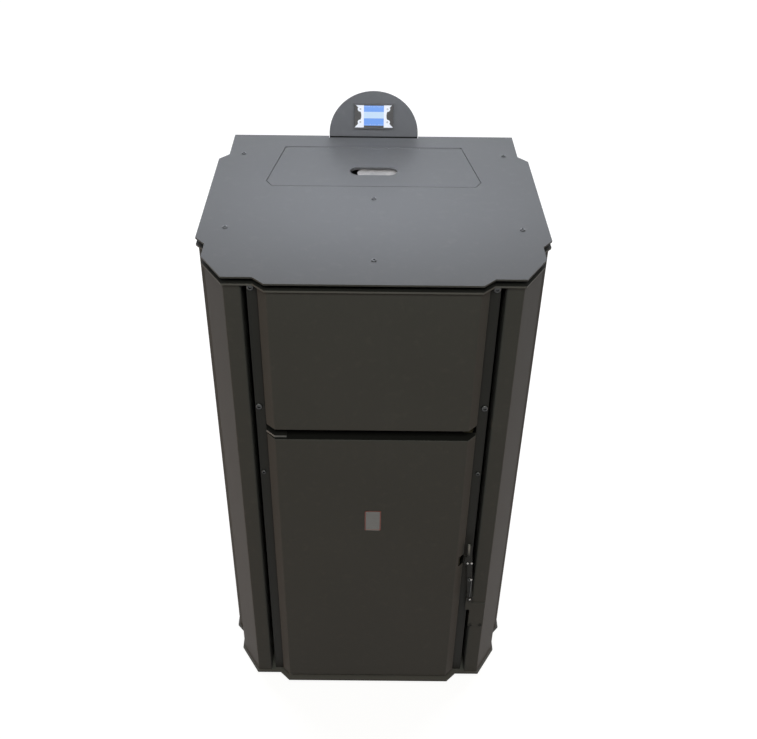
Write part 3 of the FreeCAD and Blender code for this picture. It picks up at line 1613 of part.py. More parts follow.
def build_mains_inlet():
    """The mains inlet on the rear panel, with its rocker switch."""
    where = {"x": inlet_x, "y": shell_back, "z": s.inlet_z}
    inlet = new_body("power_inlet", **where)
    half, rise = s.inlet_flange_half, s.inlet_flange_rise
    pad(inlet, "XZ", 0, s.inlet_flange, rect(-half, -rise, half, rise))
    half, rise = s.inlet_body_half, s.inlet_body_rise
    pad(inlet, "XZ", -s.inlet_body_depth, 0, rect(-half, -rise, half, rise))
    pocket(inlet, "XZ", -s.socket_depth, s.inlet_flange,
           rect(s.socket_left, -s.socket_rise, s.socket_right, s.socket_rise))
    pocket(inlet, "XZ", -s.switch_depth, s.inlet_flange,
           rect(s.switch_left, -s.switch_rise, s.switch_right, s.switch_rise))
    middle = (s.socket_left + s.socket_right) / 2
    contacts = []
    for step, lift in ((-1, -s.earth_offset / 2), (0, s.earth_offset), (1, -s.earth_offset / 2)):
        across = middle + s.contact_pitch * step
        contacts.append(rect(across - s.contact_width / 2, lift - s.contact_height / 2,
                             across + s.contact_width / 2, lift + s.contact_height / 2))
    pad(inlet, "XZ", -s.socket_depth, s.contact_length - s.socket_depth, *contacts)

    rocker = new_body("switch_rocker", **where)
    profile = [
        (-s.rocker_root, -s.rocker_root),
        (as_size(0), -s.rocker_rise),
        (s.rocker_top, -s.rocker_rise),
        (s.rocker_dip, as_size(0)),
        (s.rocker_top, s.rocker_rise),
        (as_size(0), s.rocker_rise),
        (-s.rocker_root, s.rocker_root),
    ]
    pad(rocker, "YZ", s.switch_left + s.rocker_play, s.switch_right - s.rocker_play,
        turned(profile, -ROCKER_TILT))


for build in (
    build_base,
    build_corner_posts,
    build_side_and_rear_panels,
    build_upper_front,
    build_top,
    build_lid,
    build_lid_hinge,
    build_control_panel,
    build_door,
    build_latch,
    build_vessel,
    build_turbulators,
    build_burner,
    build_chute,
    build_auger,
    build_auger_screw,
    build_hopper,
    build_fan,
    build_pipes,
    build_mains_inlet,
):
    build()
doc.recompute()

for item in doc.Objects:
    for flag in item.State:
        if flag in ("Invalid", "Error"):
            raise RuntimeError(f"{item.Label} failed: {item.State}")
    if item.TypeId == "PartDesign::Pocket":
        if item.Shape.Volume > item.BaseFeature.Shape.Volume - 0.001:
            raise RuntimeError(f"{item.Label} cuts nothing")
for node in NODES:
    if node.Shape.isNull() or not node.Shape.isValid():
        raise RuntimeError(f"{node.Label} has no valid shape")
for node in NODES:
    node.Shape.exportStep(f"parts/{node.Label}.step")
print(len(NODES), "pieces written")
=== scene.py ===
import json
import math

import bmesh
import bpy
from mathutils import Matrix, Vector


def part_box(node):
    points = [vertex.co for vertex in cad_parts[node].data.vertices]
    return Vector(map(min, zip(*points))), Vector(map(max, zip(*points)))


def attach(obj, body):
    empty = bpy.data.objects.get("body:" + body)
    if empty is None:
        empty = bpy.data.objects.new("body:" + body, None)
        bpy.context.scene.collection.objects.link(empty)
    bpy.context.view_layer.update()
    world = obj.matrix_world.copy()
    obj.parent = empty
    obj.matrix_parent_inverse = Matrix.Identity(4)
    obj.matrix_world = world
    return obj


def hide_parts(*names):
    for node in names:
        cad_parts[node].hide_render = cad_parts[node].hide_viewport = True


# Looks of a floor-standing pellet boiler, in metres and in the frame of its solids:
# the front faces -Y, +X is right, +Z is up and the origin lies on the floor.

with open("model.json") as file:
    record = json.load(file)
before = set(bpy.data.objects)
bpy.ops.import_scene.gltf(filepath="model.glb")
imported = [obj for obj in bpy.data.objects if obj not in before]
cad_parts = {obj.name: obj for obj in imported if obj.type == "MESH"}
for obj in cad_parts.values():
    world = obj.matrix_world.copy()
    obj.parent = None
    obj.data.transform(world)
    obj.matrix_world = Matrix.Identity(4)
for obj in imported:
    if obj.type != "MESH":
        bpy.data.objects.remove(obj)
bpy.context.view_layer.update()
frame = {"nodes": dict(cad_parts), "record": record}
nodes = frame["nodes"]

# Photograph: its frame in pixels, and the camera that was fitted to it
IMAGE_WIDTH = 757
IMAGE_HEIGHT = 739
FOCAL_PIXELS = 953.4
CENTRE_ACROSS = 367.8
CENTRE_DOWN = 370.4
CAMERA_PITCH = math.radians(36.85)
CAMERA_YAW = math.radians(0.18)
CAMERA_ROLL = math.radians(0.67)
CAMERA_PLACE = Vector((-0.012, -1.5847, 1.8234))

WHITE = (1.0, 1.0, 1.0, 1.0)


# Finishes, and the relief of their grain

PAINT_RELIEF = 0.00005
METAL_RELIEF = 0.00004


class Value:
    """A number that varies over a surface. Arithmetic on it adds Math nodes."""

    def __init__(self, finish, socket):
        self.finish = finish
        self.socket = socket

    def __add__(self, other):
        return self.finish.maths("ADD", self, other)

    __radd__ = __add__

    def __mul__(self, other):
        return self.finish.maths("MULTIPLY", self, other)

    __rmul__ = __mul__

    def __sub__(self, other):
        return self.finish.maths("SUBTRACT", self, other)

    def __rsub__(self, other):
        return self.finish.maths("SUBTRACT", other, self)

    def __pow__(self, other):
        return self.finish.maths("POWER", self, other)

    def __abs__(self):
        return self.finish.maths("ABSOLUTE", self, 0.0)

    def __lt__(self, other):
        return self.finish.maths("LESS_THAN", self, other)

    def __gt__(self, other):
        return self.finish.maths("GREATER_THAN", self, other)


class Finish:
    """A material that is built up node by node on the place on its piece."""

    def __init__(self, name):
        self.material = bpy.data.materials.new(name)
        self.material.use_nodes = True
        self.tree = self.material.node_tree
        self.tree.nodes.clear()
        self.place = self.node("TexCoord", output="Object")

    def node(self, kind, settings=None, inputs=None, output=0):
        """Adds any node: its settings come first, then the values or links of its sockets."""
        node = self.tree.nodes.new("ShaderNode" + kind)
        for name, setting in (settings or {}).items():
            if name == "stops":
                ramp = node.color_ramp.elements
                while len(ramp) < len(setting):
                    ramp.new(1.0)
                for element, (position, colour) in zip(ramp, setting):
                    element.position = position
                    element.color = colour
            else:
                setattr(node, name, setting)
        for name, value in (inputs or {}).items():
            if isinstance(value, Value):
                self.tree.links.new(value.socket, node.inputs[name])
            else:
                node.inputs[name].default_value = value
        return Value(self, node.outputs[output]) if node.outputs else None

    def maths(self, operation, first, second):
        """One Math node."""
        return self.node("Math", {"operation": operation}, {0: first, 1: second})

    def mapped(self, stretch=(1, 1, 1), turn=(0, 0, 0)):
        """The place on the piece, stretched and turned."""
        inputs = {"Vector": self.place, "Rotation": turn, "Scale": stretch}
        return self.node("Mapping", None, inputs)

    def noise(self, scale, detail=2.0, stretch=(1, 1, 1)):
        """Soft random patches, about one per 1 / scale metres."""
        inputs = {"Vector": self.mapped(stretch), "Scale": scale, "Detail": detail}
        return self.node("TexNoise", None, inputs)

    def cells(self, scale, feature="F1", output="Distance"):
        """Voronoi cells, about one per 1 / scale metres."""
        inputs = {"Vector": self.place, "Scale": scale}
        return self.node("TexVoronoi", {"feature": feature}, inputs, output)

    def flakes(self, scale):
        """One random number for each cell."""
        return self.node("SeparateColor", None, {"Color": self.cells(scale, output="Color")})

    def waves(self, scale, turn):
        """Even bands across a turned X axis."""
        settings = {"wave_type": "BANDS", "bands_direction": "X"}
        return self.node("TexWave", settings, {"Vector": self.mapped(turn=turn), "Scale": scale})

    def fade(self, value, low, high):
        """0 below low, 1 above high and a straight rise between."""
        return self.node("MapRange", None, {"Value": value, "From Min": low, "From Max": high})

    def blend(self, share, first, second):
        """A colour between two."""
        settings = {"data_type": "RGBA", "clamp_factor": True}
        return self.node("Mix", settings, {0: share, 6: first, 7: second}, 2)

    def ramp(self, value, *stops):
        """A colour from a row of stops."""
        return self.node("ValToRGB", {"stops": stops}, {"Fac": value})

    def across(self, letter):
        """One coordinate of the place on the piece."""
        return self.node("SeparateXYZ", None, {"Vector": self.place}, letter)

    def facing(self, letter):
        """One coordinate of the way the surface faces."""
        normal = self.node("NewGeometry", output="Normal")
        return self.node("SeparateXYZ", None, {"Vector": normal}, letter)

    def surface(self, colour, roughness, height=None, depth=0.0, metallic=0.0, **constants):
        """Joins the parts of the finish and returns the material.
        Depth is the relief of the height in metres, and constants are named after their sockets."""
        inputs = {"Base Color": colour, "Roughness": roughness, "Metallic": metallic}
        if height is not None:
            inputs["Normal"] = self.node("Bump", None, {"Distance": depth, "Height": height})
        for name, value in constants.items():
            inputs[name.replace("_", " ").title().replace("Ior", "IOR")] = value
        shader = self.node("BsdfPrincipled", None, inputs)
        self.node("OutputMaterial", None, {"Surface": shader})
        return self.material


def grey(level, warmth=0.0):
    """A grey, a little warmer or cooler."""
    return (level * (1 + warmth), level, level * (1 - warmth), 1.0)


def powder_coat(name, low=0.088, high=0.106, places=None, tone=0.008):
    """Anthracite powder coat: satin and finely textured, with faint clouds, dust and rub marks.
    Where a piece has places listed for it, they take a flat tone of their own: painted light, dark
    for painted shade and pale for a painted highlight."""
    coat = Finish(name)
    clouds = coat.noise(4.5, 3.0)
    grain = coat.noise(1500.0, 1.0)
    peel = coat.noise(360.0, 2.0)
    dust = coat.fade(coat.noise(60.0, 6.0), 0.56, 0.75)
    rubs = coat.fade(coat.noise(30.0, 4.0, stretch=(1.0, 1.0, 0.1)), 0.62, 0.78)
    colour = coat.blend(clouds, grey(low), grey(high))
    colour = coat.blend(grain * 0.3, colour, grey(high * 1.3))
    colour = coat.blend(dust * 0.06, colour, grey(0.25, 0.04))
    colour = coat.blend(rubs * 0.07, colour, grey(high * 1.6))
    # Painted light: a flat tone over the listed places stands in for the light that falls there.
    if places:
        colour = coat.blend(places(coat), colour, grey(tone))
    roughness = 0.42 + clouds * 0.08 + grain * 0.05 + dust * 0.05 - rubs * 0.05
    relief = peel * 0.5 + grain * 0.5
    return coat.surface(colour, roughness, relief, depth=PAINT_RELIEF, specular_ior_level=0.03)


def painted_shade_at_panel_foot(coat):
    """Painted shade on the front of the control panel's foot, where it stands in the slot of the
    cover.
    """
    painted_shade_height, soft_edge = 0.0006, 0.0008
    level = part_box("top_cover")[1].z + painted_shade_height
    front = coat.fade(0 - coat.facing("Y"), 0.5, 0.9)
    return front * (1 - coat.fade(coat.across("Z"), level, level + soft_edge))


def upward_faces_painted_light(coat):
    """Faces that look up, where the coat takes a tone of painted light."""
    return coat.fade(coat.facing("Z"), 0.9, 0.97)


def black_paint(name, low, high):
    """Satin black paint on the strips, brackets and other fittings of the frame."""
    paint = Finish(name)
    clouds = paint.noise(7.0, 3.0)
    grain = paint.noise(1100.0, 2.0)
    scuffs = paint.fade(paint.noise(45.0, 5.0, stretch=(1.0, 1.0, 0.25)), 0.6, 0.8)
    colour = paint.blend(clouds, grey(low), grey(high))
    colour = paint.blend(scuffs * 0.2, colour, grey(0.10))
    roughness = 0.46 + clouds * 0.1 - scuffs * 0.06
    return paint.surface(colour, roughness, grain, depth=PAINT_RELIEF, specular_ior_level=0.08)


def bracket_with_painted_highlight():
    """The door's pivot brackets: black paint, with the faces that look to the front painted light
    grey and partly metallic as a painted highlight.
    """
    paint = Finish("bracket_paint_painted_highlight")
    grain = paint.noise(1100.0, 2.0)
    patches = paint.noise(160.0, 4.0)
    # Painted highlight: faces that look to the front turn light grey and partly metallic, in
    # patches.
    bare = paint.fade(patches * 0.3 - paint.facing("Y"), 0.45, 0.75)
    colour = paint.blend(patches, grey(0.020), grey(0.032))
    colour = paint.blend(bare, colour, grey(0.20))
    return paint.surface(
        colour,
        0.5 + patches * 0.1,
        grain,
        depth=PAINT_RELIEF,
        metallic=bare * 0.4,
        specular_ior_level=0.1,
    )


def lever_with_pale_streak():
    """The latch lever: black paint with a narrow pale streak along its tip."""
    low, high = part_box("latch_lever")
    streak_inset, streak_lean = 0.0057, 0.05
    paint = Finish("lever_paint_pale_streak")
    grain = paint.noise(1100.0, 2.0)
    patches = paint.noise(160.0, 4.0)
    below_tip = high.z - paint.across("Z")
    aside = abs(paint.across("X") - (low.x + streak_inset) - below_tip * streak_lean)
    narrow = 1 - paint.fade(aside, 0.0008, 0.0026)
    short = 1 - paint.fade(below_tip, 0.010, 0.030)
    streak = narrow * short
    colour = paint.blend(patches, grey(0.028), grey(0.040))
    colour = paint.blend(streak * 0.9, colour, grey(0.42))
    roughness = 0.5 - streak * 0.1
    return paint.surface(colour, roughness, grain, depth=PAINT_RELIEF, specular_ior_level=0.1)


def zinc_coat():
    """Zinc-coated sheet: dull grey with large soft flakes."""
    zinc = Finish("zinc_coated_sheet")
    flakes = zinc.flakes(95.0)
    fine = zinc.flakes(330.0)
    clouds = zinc.noise(9.0, 4.0)
    stains = zinc.fade(zinc.noise(26.0, 5.0), 0.58, 0.8)
    tone = flakes * 0.5 + fine * 0.2 + clouds * 0.3
    colour = zinc.blend(tone, grey(0.185, 0.05), grey(0.325, 0.05))
    colour = zinc.blend(stains * 0.3, colour, grey(0.40, 0.06))
    roughness = 0.4 + flakes * 0.14 + stains * 0.12
    relief = fine * 0.4 + clouds * 0.6
    return zinc.surface(colour, roughness, relief, depth=0.00006, metallic=0.85)


def machined_steel(name, low, high):
    """Bare machined steel with fine tool lines and a little oil film."""
    steel = Finish(name)
    lines = steel.noise(900.0, 2.0, stretch=(0.2, 1.0, 1.0))
    film = steel.noise(35.0, 4.0)
    colour = steel.blend(film, grey(low, 0.01), grey(high, 0.02))
    colour = steel.blend(lines * 0.3, colour, grey(low * 0.75))
    roughness = 0.22 + lines * 0.12 + film * 0.08
    return steel.surface(colour, roughness, lines, depth=METAL_RELIEF, metallic=1.0)


def dark_zinc():
    """Dark zinc-coated screws."""
    zinc = Finish("dark_zinc_screws")
    film = zinc.noise(420.0, 3.0)
    wear = zinc.fade(zinc.noise(900.0, 4.0), 0.58, 0.72)
    colour = zinc.blend(film, grey(0.045), grey(0.085, -0.03))
    colour = zinc.blend(wear * 0.5, colour, grey(0.26))
    return zinc.surface(colour, 0.3 + film * 0.2, film, depth=METAL_RELIEF, metallic=0.9)


def vessel_paint():
    """Boiler plate in dark heat-resistant paint, brushed on over rolled steel."""
    paint = Finish("vessel_heat_paint")
    strokes = paint.noise(220.0, 3.0, stretch=(1.0, 1.0, 0.08))
    clouds = paint.noise(8.0, 5.0)
    thin = paint.fade(paint.noise(18.0, 6.0), 0.6, 0.74)
    colour = paint.blend(clouds, grey(0.020, 0.03), grey(0.036, 0.03))
    colour = paint.blend(strokes * 0.35, colour, grey(0.055, 0.04))
    colour = paint.blend(thin * 0.5, colour, (0.075, 0.058, 0.047, 1))
    relief = strokes * 0.7 + clouds * 0.3
    return paint.surface(colour, 0.62 + strokes * 0.2, relief, depth=0.00015)


def heated_steel():
    """Steel plate that the fire has blued and sooted."""
    steel = Finish("heat_blued_steel")
    clouds = steel.noise(11.0, 5.0)
    soot = steel.fade(steel.noise(24.0, 6.0), 0.45, 0.75)
    scale = steel.noise(420.0, 3.0)
    colour = steel.ramp(
        clouds,
        (0.3, (0.17, 0.125, 0.09, 1)),
        (0.45, (0.10, 0.105, 0.14, 1)),
        (0.58, (0.15, 0.14, 0.145, 1)),
        (0.75, (0.20, 0.17, 0.13, 1)),
    )
    colour = steel.blend(soot * 0.7, colour, grey(0.022))
    roughness = 0.42 + soot * 0.4 + scale * 0.08
    return steel.surface(colour, roughness, scale + soot * 0.5, depth=0.0001, metallic=0.6)


def cast_iron():
    """Sand-cast iron with a coarse skin and ash in its hollows."""
    iron = Finish("cast_iron")
    skin = iron.noise(520.0, 4.0)
    pits = iron.cells(260.0)
    ash = iron.fade(iron.noise(30.0, 5.0), 0.52, 0.75)
    colour = iron.blend(skin, grey(0.045), grey(0.085))
    colour = iron.blend(ash * 0.45, colour, grey(0.30, 0.03))
    relief = skin * 0.6 + pits * 0.4
    return iron.surface(colour, 0.72 + skin * 0.2, relief, depth=0.0004, metallic=0.35)


def mineral_wool():
    """Pressed mineral wool: fibres in layers, grey-brown."""
    wool = Finish("mineral_wool_board")
    fibres = wool.noise(900.0, 5.0, stretch=(1.0, 0.25, 0.12))
    tufts = wool.noise(160.0, 4.0)
    layers = wool.noise(60.0, 3.0, stretch=(0.2, 1.0, 0.2))
    colour = wool.blend(fibres, (0.13, 0.11, 0.07, 1), (0.34, 0.30, 0.21, 1))
    colour = wool.blend(layers * 0.4, colour, (0.20, 0.17, 0.11, 1))
    relief = fibres * 0.6 + tufts * 0.4
    return wool.surface(colour, 0.95, relief, depth=0.0012, sheen_weight=0.3)


def glass_rope():
    """Braided glass rope: crossing strands, pale and slightly sooted."""
    rope = Finish("braided_glass_rope")
    left, right = (rope.waves(95.0, (0, math.radians(turn), 0)) for turn in (45, -45))
    strands = rope.maths("MAXIMUM", left, right)
    fibres = rope.noise(2600.0, 2.0)
    soot = rope.fade(rope.noise(28.0, 5.0), 0.5, 0.8)
    colour = rope.blend(strands, (0.36, 0.34, 0.29, 1), (0.72, 0.69, 0.62, 1))
    colour = rope.blend(soot * 0.6, colour, grey(0.12, 0.03))
    relief = strands * 0.8 + fibres * 0.2
    return rope.surface(colour, 0.9, relief, depth=0.0009)


def seal_rubber():
    """Soft black rubber with a faint bloom."""
    rubber = Finish("seal_rubber")
    bloom = rubber.noise(40.0, 4.0)
    grain = rubber.noise(1300.0, 2.0)
    colour = rubber.blend(bloom, grey(0.010), grey(0.024))
    return rubber.surface(colour, 0.66 + bloom * 0.15, grain, depth=0.00006)


def grained_plastic(name, low, high, gloss):
    """Moulded plastic with a fine leather grain."""
    plastic = Finish(name)
    grain = plastic.cells(1500.0, "SMOOTH_F1")
    clouds = plastic.noise(18.0, 3.0)
    colour = plastic.blend(clouds, grey(low), grey(high))
    roughness = gloss + grain * 0.12
    return plastic.surface(colour, roughness, grain, depth=0.00007, specular_ior_level=0.35)


def rocker_plastic():
    """Glossy black rocker with the common bar and ring marks."""
    low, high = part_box("switch_rocker")
    plastic = Finish("glossy_rocker_plastic")
    scuffs = plastic.noise(260.0, 4.0)
    across = plastic.across("X") - (low.x + high.x) / 2
    up = plastic.across("Z") - (low.z + high.z) / 2
    reach = (high.z - low.z) * 0.27
    half_line, half_bar, ring_radius = 0.0004, 0.0017, 0.0016
    bar = (abs(across) < half_line) * (abs(up - reach) < half_bar)
    from_centre = (across ** 2 + (up + reach) ** 2) ** 0.5
    ring = abs(from_centre - ring_radius) < half_line
    colour = plastic.blend(bar + ring, grey(0.018), grey(0.75))
    return plastic.surface(colour, 0.16 + scuffs * 0.14, scuffs, depth=0.00002)


def lit_screen():
    """A lit screen: plain colour bands between two white columns with four plain keys."""
    low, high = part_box("display_screen")
    picture_lift = 0.0015
    half_block, half_height = 0.0200, 0.0208
    band_lift, half_band = 0.0012, 0.0068
    half_edge, edge_start, edge_end = 0.0190, 0.0176, 0.0200
    column_edge, column_curve = 0.0252, 22.5
    key_across, key_up, key_radius = 0.0272, 0.0135, 0.0052
    ring_inside, ring_outside = 0.0008, 0.0018
    screen = Finish("lit_screen")
    side = abs(screen.across("X") - (low.x + high.x) / 2)
    up = screen.across("Z") - (low.z + high.z) / 2 - picture_lift
    away = abs(up)
    ground = screen.noise(300.0, 2.0)
    lines = screen.waves(720.0, (0, math.radians(90), 0))
    specks = screen.fade(screen.noise(900.0, 1.0, stretch=(1.0, 1.0, 0.6)), 0.5, 0.6)
    block = (side < half_block) * (away < half_height)
    middle = (side < half_block) * (abs(up - band_lift) < half_band)
    edge = (side < half_edge) * (away > edge_start) * (away < edge_end)
    column = (side > half_block) * (side < up ** 2 * column_curve + column_edge)
    from_key = ((side - key_across) ** 2 + (away - key_up) ** 2) ** 0.5
    key = from_key < key_radius
    ring = (from_key < ring_outside) * (from_key > ring_inside)
    colour = screen.blend(ground, grey(0.066, 0.02), grey(0.092, 0.02))
    colour = screen.blend(block, colour, (0.181, 0.376, 0.90, 1))
    colour = screen.blend(edge * specks * 0.6, colour, (0.62, 0.74, 0.95, 1))
    colour = screen.blend(middle, colour, (0.58, 0.75, 0.96, 1))
    colour = screen.blend(column + key, colour, (0.86, 0.90, 0.99, 1))
    colour = screen.blend(ring * 0.75, colour, grey(0.14, -0.1))
    colour = screen.blend(lines * 0.05, colour, grey(0.02))
    roughness = 0.12 + ground * 0.05
    return screen.surface(grey(0.01), roughness, emission_color=colour, emission_strength=1.0)


def motor_paint():
    """Black machine paint with a soft orange peel."""
    paint = Finish("black_motor_paint")
    peel = paint.noise(240.0, 2.0)
    clouds = paint.noise(12.0, 4.0)
    dust = paint.fade(paint.noise(50.0, 6.0), 0.5, 0.78)
    colour = paint.blend(clouds, grey(0.020), grey(0.036))
    colour = paint.blend(dust * 0.25, colour, grey(0.20, 0.05))
    return paint.surface(colour, 0.32 + dust * 0.3, peel, depth=0.0001)


def pressed_aluminium():
    """Pressed aluminium, dull, with rolling lines."""
    metal = Finish("pressed_aluminium")
    lines = metal.noise(700.0, 3.0, stretch=(1.0, 1.0, 0.04))
    clouds = metal.noise(14.0, 4.0)
    colour = metal.blend(clouds, grey(0.50, -0.01), grey(0.64, -0.01))
    colour = metal.blend(lines * 0.25, colour, grey(0.42))
    roughness = 0.36 + lines * 0.14 + clouds * 0.06
    return metal.surface(colour, roughness, lines, depth=METAL_RELIEF, metallic=1.0)


def turned_brass():
    """Machined brass with tool lines and a thin brown film."""
    brass = Finish("turned_brass")
    lines = brass.noise(900.0, 2.0, stretch=(0.05, 1.0, 0.05))
    film = brass.fade(brass.noise(45.0, 5.0), 0.4, 0.75)
    colour = brass.blend(film, (0.62, 0.42, 0.15, 1), (0.36, 0.22, 0.085, 1))
    roughness = 0.24 + lines * 0.1 + film * 0.16
    return brass.surface(colour, roughness, lines, depth=0.00005, metallic=1.0)


def plate_metal():
    """The bare field of the door's plate: brushed grey metal."""
    metal = Finish("brushed_plate")
    lines = metal.noise(1400.0, 3.0, stretch=(0.03, 1.0, 1.0))
    clouds = metal.noise(60.0, 3.0)
    colour = metal.blend(lines * 0.6 + clouds * 0.4, grey(0.15), grey(0.24))
    return metal.surface(colour, 0.42 + lines * 0.15, lines, depth=0.00003, metallic=0.3)


def rim_enamel():
    """The plate's thin rim in a muted red."""
    enamel = Finish("muted_red_rim")
    clouds = enamel.noise(140.0, 3.0)
    colour = enamel.blend(clouds, (0.16, 0.045, 0.034, 1), (0.23, 0.075, 0.056, 1))
    return enamel.surface(colour, 0.35 + clouds * 0.15, clouds, depth=0.00003)


finishes = {
    "casing_paint": powder_coat("anthracite_powder_coat"),
    "frame_paint": black_paint("satin_black_paint", 0.030, 0.044),
    "zinc_steel": zinc_coat(),
    "bright_steel": machined_steel("machined_steel", 0.50, 0.64),
    "screw_steel": dark_zinc(),
    "boiler_steel": vessel_paint(),
    "hot_steel": heated_steel(),
    "pot_iron": cast_iron(),
    "wool": mineral_wool(),
    "glass_rope": glass_rope(),
    "seal_rubber": seal_rubber(),
    "display_plastic": grained_plastic("display_plastic", 0.072, 0.088, 0.42),
    "display_glass": lit_screen(),
    "device_plastic": grained_plastic("device_plastic", 0.016, 0.026, 0.5),
    "rocker_plastic": rocker_plastic(),
    "motor_paint": motor_paint(),
    "fan_metal": pressed_aluminium(),
    "pipe_brass": turned_brass(),
}
upright_paint = black_paint("upright_black_paint", 0.037, 0.051)
own_finishes = {
    "front_upright_left": upright_paint,
    "front_upright_right": upright_paint,
    "door_pivot_brackets": bracket_with_painted_highlight(),
    # The control panel's coat is darkened at the front of its foot: painted shade in the slot of
    # the cover.
    "control_panel": powder_coat("panel_coat_painted_shade", places=painted_shade_at_panel_foot),
    # The door's top face is painted near-black: painted shade in the gap under the upper panel.
    "door_pan": powder_coat("door_coat_painted_shade", places=upward_faces_painted_light, tone=0.02),
    # The frame's coat is lighter than the casing's so its edge reads as a painted highlight, and
    # its top face is painted near-black as painted shade in the gap under the cover.
    "top_frame": powder_coat("frame_coat_painted_light", 0.15, 0.17, upward_faces_painted_light, 0.035),
    # The base plate's top faces are painted lighter than its sides: a painted highlight.
    "base_plate": powder_coat("base_coat_painted_highlight", places=upward_faces_painted_light, tone=0.145),
    "latch_lever": lever_with_pale_streak(),
}
for subpart in frame["record"]["subparts"]:
    name = subpart["node"]
    for holder in nodes[name].material_slots:
        holder.material = own_finishes.get(name, finishes[subpart["material_slot"]])


# Modelling: points this close are one, a ring is picked to within a hair,
# and a shape that stands on z = 0 is turned to the front or the rear of the boiler

MERGE_DISTANCE = 0.000005
HAIR = 0.0001
TO_FRONT = (math.radians(90), 0, 0)
TO_REAR = (math.radians(-90), 0, 0)


def select_only(piece):
    """Selects one piece and makes it the active one."""
    bpy.ops.object.select_all(action="DESELECT")
    piece.select_set(True)
    bpy.context.view_layer.objects.active = piece


def apply_place():
    """Puts the place, turn and scale of the selected piece into its mesh."""
    bpy.ops.object.transform_apply(location=True, rotation=True, scale=True)


def start_edit():
    """Goes into edit mode on the piece that was just added."""
    bpy.ops.object.mode_set(mode="EDIT")


def end_edit():
    """Leaves edit mode and returns the piece."""
    bpy.ops.object.mode_set(mode="OBJECT")
    return bpy.context.object


def pick(kind, test):
    """In edit mode, selects the vertices, edges or faces that a test accepts, and nothing else."""
    bpy.ops.mesh.select_mode(type=kind)
    bpy.ops.mesh.select_all(action="DESELECT")
    shape = bmesh.from_edit_mesh(bpy.context.object.data)
    groups = {"VERT": shape.verts, "EDGE": shape.edges, "FACE": shape.faces}
    for item in groups[kind]:
        if test(item):
            item.select_set(True)
    shape.select_flush_mode()
    bmesh.update_edit_mesh(bpy.context.object.data)


def pick_all():
    """In edit mode, selects the whole shape."""
    bpy.ops.mesh.select_all(action="SELECT")


def tidy_faces():
    """Merges doubles and turns all faces outwards."""
    pick_all()
    bpy.ops.mesh.remove_doubles(threshold=MERGE_DISTANCE)
    bpy.ops.mesh.normals_make_consistent(inside=False)


def start_box(centre, size):
    """Starts a box at its place, in edit mode."""
    bpy.ops.object.select_all(action="DESELECT")
    bpy.ops.mesh.primitive_cube_add(size=1, location=centre, scale=size)
    apply_place()
    start_edit()


def raise_ring(rise):
    """Extrudes the ring that is selected straight up or down."""
    bpy.ops.mesh.extrude_edges_move(TRANSFORM_OT_translate={"value": (0, 0, rise)})


def turn_profile(sides, profile):
    """Starts a turned shape about Z: a ring that is extruded through radius and height pairs."""
    bpy.ops.object.select_all(action="DESELECT")
    radius, level = profile[0]
    bpy.ops.mesh.primitive_circle_add(vertices=sides, radius=radius, location=(0, 0, 0))
    start_edit()
    bpy.ops.transform.translate(value=(0, 0, level))
    for next_radius, next_level in profile[1:]:
        raise_ring(next_level - level)
        size = next_radius / radius
        bpy.ops.transform.resize(value=(size, size, 1), center_override=(0, 0, next_level))
        radius, level = next_radius, next_level


def close_end():
    """Fills the ring that is selected."""
    bpy.ops.mesh.edge_face_add()


def close_foot(level):
    """Fills the lowest ring, which lies at a level in the piece's own coordinates."""
    pick("VERT", lambda vertex: vertex.co.z < level + HAIR)
    close_end()


def smooth(piece, angle):
    """Smooth shading, with sharp edges above an angle."""
    select_only(piece)
    bpy.ops.object.shade_smooth_by_angle(angle=math.radians(angle))


def finish_shape(angle=35):
    """Cleans the shape in edit mode, leaves edit mode and returns the smoothed piece."""
    tidy_faces()
    piece = end_edit()
    smooth(piece, angle)
    return piece


def join(pieces):
    """Joins pieces to one and returns it."""
    select_only(pieces[0])
    for piece in pieces:
        piece.select_set(True)
    bpy.ops.object.join()
    return pieces[0]


def copies(model, places, turn=(0, 0, 0)):
    """Copies a model to several places, each copy with its own mesh, and joins the copies."""
    made = []
    for place in places:
        select_only(model)
        bpy.ops.object.duplicate(linked=False)
        copy = bpy.context.object
        copy.location = place
        copy.rotation_euler = turn
        apply_place()
        made.append(copy)
    bpy.data.objects.remove(model)
    return join(made)


def settle(piece, name, body, slot, stands_for=(), material=None):
    """Names a finished piece, gives it its finish and lets it ride on its body."""
    select_only(piece)
    apply_place()
    piece.name = name
    piece.data.name = name
    if not piece.data.materials:
        piece.data.materials.append(material or finishes[slot])
    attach(piece, body)
    if stands_for:
        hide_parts(*stands_for)


# Screws, pins and other fasteners

PIN_RADIUS = 0.0025
pin_steel = machined_steel("dull_pin_steel", 0.24, 0.36)


def model_screw(head_radius, head_height, shank_radius, shank_length):
    """A button-head screw with a six-sided socket.
    Its head stands on z = 0 and its shank hangs below."""
    socket_radius, socket_depth = head_radius * 0.5, head_height * 0.7
    tip_chamfer = shank_radius * 0.3
    turn_profile(
        28,
        [
            (shank_radius - tip_chamfer, -shank_length),
            (shank_radius, -shank_length + tip_chamfer),
            (shank_radius, 0.0),
            (head_radius, 0.0),
            (head_radius, head_height * 0.28),
            (head_radius * 0.96, head_height * 0.55),
            (head_radius * 0.86, head_height * 0.82),
            (head_radius * 0.68, head_height),
        ],
    )
    socket_place = (0, 0, head_height)
    bpy.ops.mesh.primitive_circle_add(vertices=6, radius=socket_radius, location=socket_place)
    crown = head_height * 0.999
    pick("VERT", lambda vertex: vertex.co.z > crown)
    bpy.ops.mesh.bridge_edge_loops()
    rim = socket_radius * 1.01
    pick("VERT", lambda vertex: vertex.co.z > crown and vertex.co.xy.length < rim)
    raise_ring(-socket_depth)
    close_end()
    close_foot(-shank_length)
    return finish_shape()


